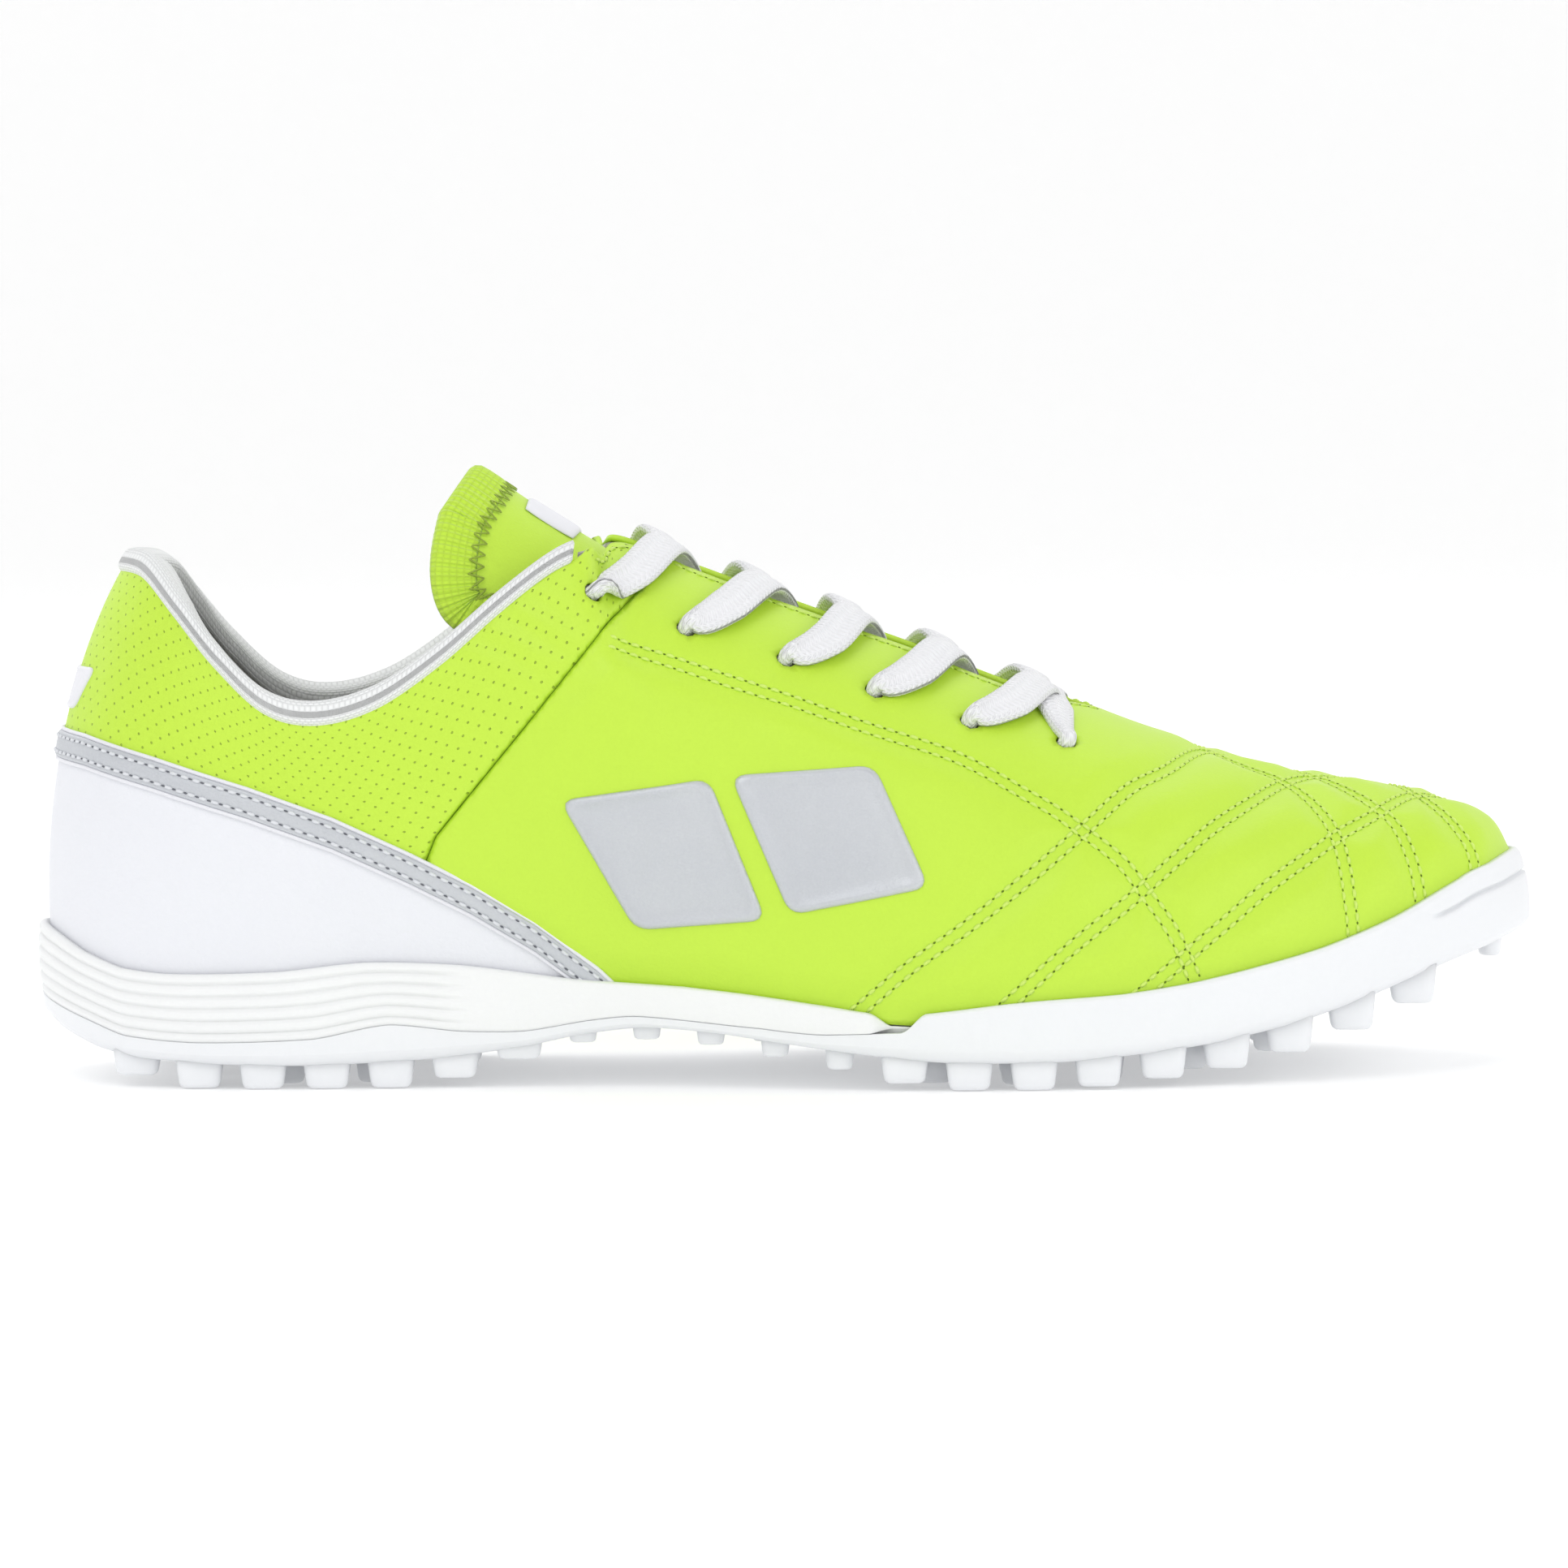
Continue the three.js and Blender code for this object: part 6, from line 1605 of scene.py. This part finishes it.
# ---------------------------------------------------------------- tongue
class SHOE_OT_tongue(ShoeOperator):
    """Padded tongue with its elastic edge, zigzag rows, lace keeper and plain print"""

    bl_idname = "shoe.tongue"
    bl_label = "Tongue"

    hinge = ((-0.0245, 0, 0.0956), (-0.0415, 0, 0.1062))

    def sheet_of(self, name, along, across, out, under, material, slot_name, nodes, uv_scale=1.0):
        """Closed padded sheet over a grid of tongue places."""
        outer, inner = tongue_point(along, across, out), tongue_point(along, across, under)
        points, faces = slab_mesh(outer, inner)
        uv = np.stack([across.ravel(), along.ravel()], axis=1) * MM * uv_scale
        obj = build(name, points, faces, material, uv=np.vstack([uv, uv]), body=None)
        show(obj, slot_name, *nodes)
        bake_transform(obj)
        return obj

    def make(self, sizes):
        columns, rows = 150, 60
        span = np.linspace(0, 1, columns)
        along = np.repeat((TONGUE_LENGTH - span * TONGUE_LENGTH)[:, None], rows + 1, axis=1)
        s = np.linspace(-1, 1, rows + 1)[None]
        inset = 0.8 * smooth(BEND, BEND + 8, along)
        across = (tongue_half(along) - inset) * s
        along = np.minimum(along, TONGUE_LENGTH - 0.8)
        thin = np.maximum(np.abs(s) ** 10, smooth(TONGUE_LENGTH - 2.5, TONGUE_LENGTH - 0.8, along) ** 2)
        soft = 0.25 * np.sin(along * 0.33) * np.cos(s * 1.4)
        out = lerp(np.abs(soft) * 0.5, TONGUE_DEPTH / 2 - 0.15, thin)
        under = lerp(np.full_like(out, TONGUE_DEPTH - 0.4), TONGUE_DEPTH / 2 + 0.15, thin)
        cloth = finish("lime tongue cloth", lime(), shade_of(lime(), 0.84), 0.6, 2000.0, 0.35, 0.0001,
                       sheen=0.15)
        face = self.sheet_of("tongue", along, across, out, under, cloth, "upper_lime",
                             ("tongue_face_lower", "tongue_face_upper", "tongue_foam_lower",
                              "tongue_foam_upper"))
        inner_along = np.minimum(along, TONGUE_LENGTH - 3)
        self.sheet_of("tongue_lining", inner_along, across * 0.965, np.full_like(out, TONGUE_DEPTH - 0.42),
                      np.full_like(out, TONGUE_DEPTH + 0.1), lining_mesh(), "lining_mesh",
                      ("tongue_lining_lower", "tongue_lining_upper"))
        self.knit()
        self.patches()

    def border(self, count):
        """Outer border of the free end, one side to the other: distance along and across."""
        start = BEND + 1
        a = np.linspace(start, TONGUE_LENGTH, 60)
        half = tongue_half(a)
        top = np.linspace(half[-1], -half[-1], 24)[1:-1]
        line = np.vstack([np.stack([a, half], 1), np.stack([np.full(22, TONGUE_LENGTH), top], 1),
                          np.stack([a[::-1], -half[::-1]], 1)])
        return every(line, lengths(line)[-1] / (count - 1))

    def inward(self, line):
        ahead = unit(np.gradient(line, axis=0))
        for _ in range(12):
            ahead = unit(np.vstack([ahead[:1], (ahead[:-2] + ahead[1:-1] + ahead[2:]) / 3, ahead[-1:]]))
        return np.stack([ahead[:, 1], -ahead[:, 0]], axis=1)

    def knit(self):
        count = 720
        line = self.border(count)
        inner = self.inward(line)
        run = lengths(line)
        rib = 0.16 * np.cos(run * 2 * math.pi / 1.5)
        section = [(KNIT_WIDTH, 0.05), (KNIT_WIDTH - 0.6, -0.35), (KNIT_WIDTH * 0.7, -0.5),
                   (KNIT_WIDTH * 0.4, -0.5),
                   (1.6, -0.35), (0.5, 0.3), (0.0, 1.3), (0.0, 2.6), (0.5, 3.8), (1.6, TONGUE_DEPTH + 0.1),
                   (KNIT_WIDTH * 0.5, TONGUE_DEPTH + 0.25), (KNIT_WIDTH - 1.5, TONGUE_DEPTH + 0.2),
                   (KNIT_WIDTH - 1.0, TONGUE_DEPTH - 0.5), (KNIT_WIDTH - 1.5, 0.8)]
        rings = []
        for k, (inset, depth) in enumerate(section):
            at = line + inner * inset
            ribbed = rib if 0 < k < 12 else 0 * rib
            bulge = depth - ribbed * (1 if depth < 2 else -1)
            rings.append(tongue_point(at[:, 0], at[:, 1], bulge))
        rings = np.stack(rings, axis=1)
        points, faces = tube(rings)
        steps = lengths(np.array(section))
        uv = np.stack(np.broadcast_arrays(run[:, None], steps[None]), axis=-1).reshape(-1, 2)
        uv = np.vstack([uv, [[0, 0], [0, 0]]]) * MM
        obj = build("tongue_edge_knit", points, faces, tongue_knit(), uv=uv, body=None)
        show(obj, "knit_lime", "tongue_edge_knit")
        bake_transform(obj)
        threads = []
        for inset, reach in ((KNIT_WIDTH - 0.2, 1.5),):
            places = every(line + inner * inset, 1.25)
            inward = self.inward(places)
            for k in range(len(places) - 1):
                a = places[k] + inward[k] * reach * (1 if k % 2 else -1)
                b = places[k + 1] + inward[k + 1] * reach * (-1 if k % 2 else 1)
                high = -0.5
                p, q = (tongue_point(c[0], c[1], high) for c in (a, b))
                n = unit(p - tongue_point(a[0], a[1], 2.0))
                threads.append((p, q, n, 0.17))
        points, faces = beads(threads, [(0, 0.7, -0.3), (0.15, 1, 0.1), (0.85, 1, 0.1), (1, 0.7, -0.3)], 6)
        zigzag = build("tongue_zigzag_thread", points, faces, thread("olive thread", (0.58, 0.68, 0.18)),
                       body=None)
        show(zigzag, "knit_lime")
        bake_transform(zigzag)

    def patches(self):
        start = BEND + 7
        for name, first, last, half, high, material, slot_name, rows in (
                ("tongue_badge", start, start + 11, 9, 0.7, white_film(), "badge_white", 24),
                ("tongue_lace_loop", along_at(-0.4) - 3.2, along_at(-0.4) + 3.2, 7, 1.0, lace_weave(),
                 "lace_white", 16)):
            s, t = np.meshgrid(np.linspace(-1, 1, rows), np.linspace(-1, 1, 30), indexing="ij")
            x = s * np.sqrt(1 - t * t * 0.16) * 1.06
            y = t * np.sqrt(1 - s * s * 0.1) * 1.02
            along = (first + last) / 2 + -x * (last - first) / 2
            edge = np.maximum(np.abs(s), np.abs(t)) ** 14
            out = -lerp(high, 0.25, edge)
            points, faces = slab_mesh(tongue_point(along, y * half, out),
                                      tongue_point(along, y * half, out * 0 - 0.05))
            uv = np.stack([y.ravel() * half, along.ravel()], axis=1) * MM
            body = "tongue_top" if name == "tongue_badge" else "shoe"
            obj = build(name, points, faces, material, uv=np.vstack([uv, uv]), body=body)
            show(obj, slot_name, name)


# ---------------------------------------------------------------- sole
def cup_floor(x):
    return height_at(PLATE, x) + lerp(ARCH_FLOOR, CUP_FLOOR, smooth(15, 35, np.abs(x + 20)))


class SHOE_OT_midsole(ShoeOperator):
    """Grooved foam midsole"""

    bl_idname = "shoe.midsole"
    bl_label = "Midsole"

    def make(self, sizes):
        us = np.arange(AROUND * 16) / 16
        x = foot_x(us)
        front = smooth(CUP_END - 7, CUP_END - 2, x)
        rim_z = lerp(height_at(RIM_TOP, x), height_at(BED, x) - 0.3, front)
        part_z = height_at(PARTING, x) + 0.02

        def rim(offset, front_offset, drop):
            z = lerp(height_at(RIM_TOP, x), height_at(BED, x) - drop, front)
            place = lerp(wall_point(us, z, 0), foot_point(us, 0, z), front[:, None])
            place = place + side(us)[0] * lerp(offset, front_offset, front)[:, None]
            place[:, 2] = z
            return place

        low = foot_point(us, lerp(SOLE_FLARE, 0.1, front),
                         lerp(part_z + 0.02, height_at(BED, x) - 0.45, front))
        high = rim(GAP + RIM, 0.15, 0.3)
        rows, groove_count, groove_width = 44, 5, 0.33
        heel = smooth(-58, -68, x)
        wall = []
        for k in range(rows + 1):
            t = k / rows
            row = lerp(low, high, t)
            swell = 0.5 * math.sin(math.pi * t) * (1 - front)
            share = row[:, 2]
            cut = 0
            for n in range(groove_count):
                level = lerp(part_z, rim_z, (n + 0.75) / (groove_count + 0.6))
                cut = np.maximum(cut, np.exp(-((share - level) / groove_width) ** 2))
            cut = cut * heel * sizes.groove * 1000 * 1.4
            round_off = 0.35 * max(0, 1 - t / 0.06) ** 2 + 0.55 * max(0, 1 - (1 - t) / 0.06) ** 2
            wall.append(row + side(us)[0] * (swell - cut - round_off * (1 - front))[:, None])
        loops = [foot_point(us, 0, cup_floor(x) + GAP),
                 foot_point(us, lerp(0.05, 0, front), lerp(part_z, height_at(BED, x) - 0.6, front))]
        loops += wall + [rim(GAP + 0.15, 0.12, 0.15),
                         foot_point(us, lerp(GAP, 0.1, front), height_at(BED, x))]
        points, faces = loops_mesh(loops, 8)
        show(build("midsole", points, faces, foam()), "foam_white", "midsole")


class SHOE_OT_outsole(ShoeOperator):
    """Rubber outsole with its toe wrap and rounded lugs"""

    bl_idname = "shoe.outsole"
    bl_label = "Outsole"

    edge_lugs = (-124, 130, 12.1, 3.4, 4.6, 3.6)
    stud_rows = (-113, -96, -79, -63, 27, 43, 59, 75, 91, 107)
    arch_studs = ((-38, 0), (-27, -13), (-27, 10), (-16, 0), (-5, -15), (-5, 13), (8, -6), (10, 12))

    def make(self, sizes):
        us = np.arange(AROUND * 16) / 16
        x = foot_x(us)
        wall_rise = smooth(CUP_END - 1, CUP_END + 4, x)
        front = (wall_rise > 0.5)[:, None]
        plate = height_at(PLATE, x)
        top = lerp(height_at(PARTING, x), height_at(RIM_TOP, x), wall_rise)
        floor = cup_floor(x)
        ledge = np.where(front[:, 0], height_at(BED, x) + GAP, lerp(floor, top, 0.4))
        between = lerp(ledge, top, 0.5)
        skirt = np.minimum(lerp(plate, top, 0.45), floor)
        out = side(us)[0]

        def choose(a, b):
            return np.where(front, a, b)

        low = foot_point(us, SOLE_FLARE * 0.9, skirt)
        high = choose(wall_point(us, top, GAP + RIM), foot_point(us, SOLE_FLARE, top))
        wall = []
        height = high[:, 2] - low[:, 2]
        near_toe = smooth(119, 123, x)
        slot_depth, slot_half = 0.9, 0.55
        slot_at = np.clip((height_at(TOE_GROOVE, x) - low[:, 2]) / height, 0.3, 0.85)
        half = np.minimum(slot_half / height, 0.05)
        for k in range(-15, 16):
            beyond = (abs(k) - 3) / 12
            if abs(k) <= 3:
                t = slot_at + half * k / 3
            elif k < 0:
                t = (slot_at - half) * (1 - beyond)
            else:
                t = lerp(slot_at + half, 1, beyond)
            row = lerp(low, high, t[:, None])
            bulge = 0.6 * np.sin(math.pi * t) * wall_rise
            cut = slot_depth * smooth(3, 1, np.full(x.shape, abs(k))) * near_toe
            round_off = 0.5 * np.maximum(0, 1 - (1 - t) / 0.08) ** 2 * wall_rise
            wall.append(row + out * (bulge - cut - round_off)[:, None])
        corner = [foot_point(us, -1.5, plate), foot_point(us, -0.2, plate + 0.15),
                  foot_point(us, 1.3, lerp(plate, skirt, 0.4))]
        loops = corner + wall + [
            choose(wall_point(us, top, GAP), foot_point(us, 0.7, top)),
            choose(wall_point(us, between, GAP + 0.05), foot_point(us, 0.6, between)),
            foot_point(us, 0.45, ledge), foot_point(us, 0.4, floor)]
        points, faces = loops_mesh(loops, 8)
        lugs = self.lugs()
        count = len(points)
        points = [points]
        for own, own_faces in lugs:
            points.append(own)
            faces += [[k + count for k in f] for f in own_faces]
            count += len(own)
        show(build("outsole", np.vstack(points), faces, rubber()), "rubber_white", "outsole")

    def lug(self, x, y, radius_x, radius_y, sides):
        root = lambda at: height_at(PLATE, at) + CUP_FLOOR / 2
        tip = float(height_at(LUG_TIP, x))
        top = float(root(x))
        steps = 24
        turn = np.arange(steps) * 2 * math.pi / steps
        c, s = np.cos(turn), np.sin(turn)
        power = 0.42 if sides == 4 else 0.85
        shape = np.stack([np.sign(c) * np.abs(c) ** power * radius_x,
                          np.sign(s) * np.abs(s) ** power * radius_y], 1)
        rings = []
        for level, share in ((1.0, 1.0), (0.42, 0.9), (0.16, 0.85), (0.06, 0.79), (0.0, 0.68), (0.0, 0.3)):
            z = tip + (top - tip) * level
            ring_points = np.stack([x + shape[:, 0] * share, y + shape[:, 1] * share, np.full(steps, z)],
                                   axis=1)
            if level == 1.0:
                ring_points[:, 2] = root(ring_points[:, 0])
            rings.append(ring_points)
        return tube(rings)

    def lugs(self):
        us = np.linspace(0, LAST, 600)
        foot_y = lambda at, m: float(np.interp(at, foot_x(us), ring(AROUND - us if m else us)[:, 1]))
        made = []
        first, last, pitch, inset, half_length, half_width = self.edge_lugs
        for x in np.arange(first, last + 0.01, pitch):
            for medial in (False, True):
                y = foot_y(x, medial) + (-inset if medial else inset)
                arch = -45 < x < 15
                size = 0.62 if arch else 1
                made.append(self.lug(x, y, half_length * size, half_width * size, 6 if arch else 4))
        for x in self.stud_rows:
            low, high = foot_y(x, False) + inset + 10, foot_y(x, True) - inset - 10
            count = max(1, round((high - low) / 16) + 1)
            for i in range(count):
                y = (low + high) / 2 if count == 1 else lerp(low, high, i / (count - 1))
                made.append(self.lug(x, y, 4, 4, 6))
        made += [self.lug(x, y, 2.8, 2.8, 6) for x, y in self.arch_studs]
        made.append(self.lug(135, 6, 2.5, 4.5, 6))
        return made


# ---------------------------------------------------------------- add-on
class SHOE_PT_panel(bpy.types.Panel):
    """Sizes, colours and pieces of the shoe"""

    bl_idname = "SHOE_PT_panel"
    bl_label = "Shoe"
    bl_space_type = "VIEW_3D"
    bl_region_type = "UI"
    bl_category = "Shoe"

    def draw(self, context):
        for settings in (context.scene.shoe_sizes, context.scene.shoe_colours):
            box = self.layout.box()
            for name in settings.bl_rna.properties.keys():
                if name not in ("rna_type", "name"):
                    box.prop(settings, name)
        for made in OPERATORS:
            self.layout.operator(made.bl_idname)


OPERATORS = (SHOE_OT_stage, SHOE_OT_lace, SHOE_OT_upper, SHOE_OT_stitching, SHOE_OT_trim, SHOE_OT_lining,
             SHOE_OT_sockliner, SHOE_OT_tongue, SHOE_OT_midsole, SHOE_OT_outsole)


def register():
    for made in (ShoeSizes, ShoeColours) + OPERATORS + (SHOE_PT_panel,):
        bpy.utils.register_class(made)
    bpy.types.Scene.shoe_sizes = bpy.props.PointerProperty(type=ShoeSizes)
    bpy.types.Scene.shoe_colours = bpy.props.PointerProperty(type=ShoeColours)


def unregister():
    del bpy.types.Scene.shoe_colours
    del bpy.types.Scene.shoe_sizes
    for made in (SHOE_PT_panel,) + OPERATORS[::-1] + (ShoeColours, ShoeSizes):
        bpy.utils.unregister_class(made)


def main():
    register()
    bpy.ops.shoe.stage()
    bpy.ops.shoe.lace()
    bpy.ops.shoe.upper()
    bpy.ops.shoe.stitching()
    bpy.ops.shoe.trim()
    bpy.ops.shoe.lining()
    bpy.ops.shoe.sockliner()
    bpy.ops.shoe.tongue()
    bpy.ops.shoe.midsole()
    bpy.ops.shoe.outsole()


if __name__ == "__main__":
    main()
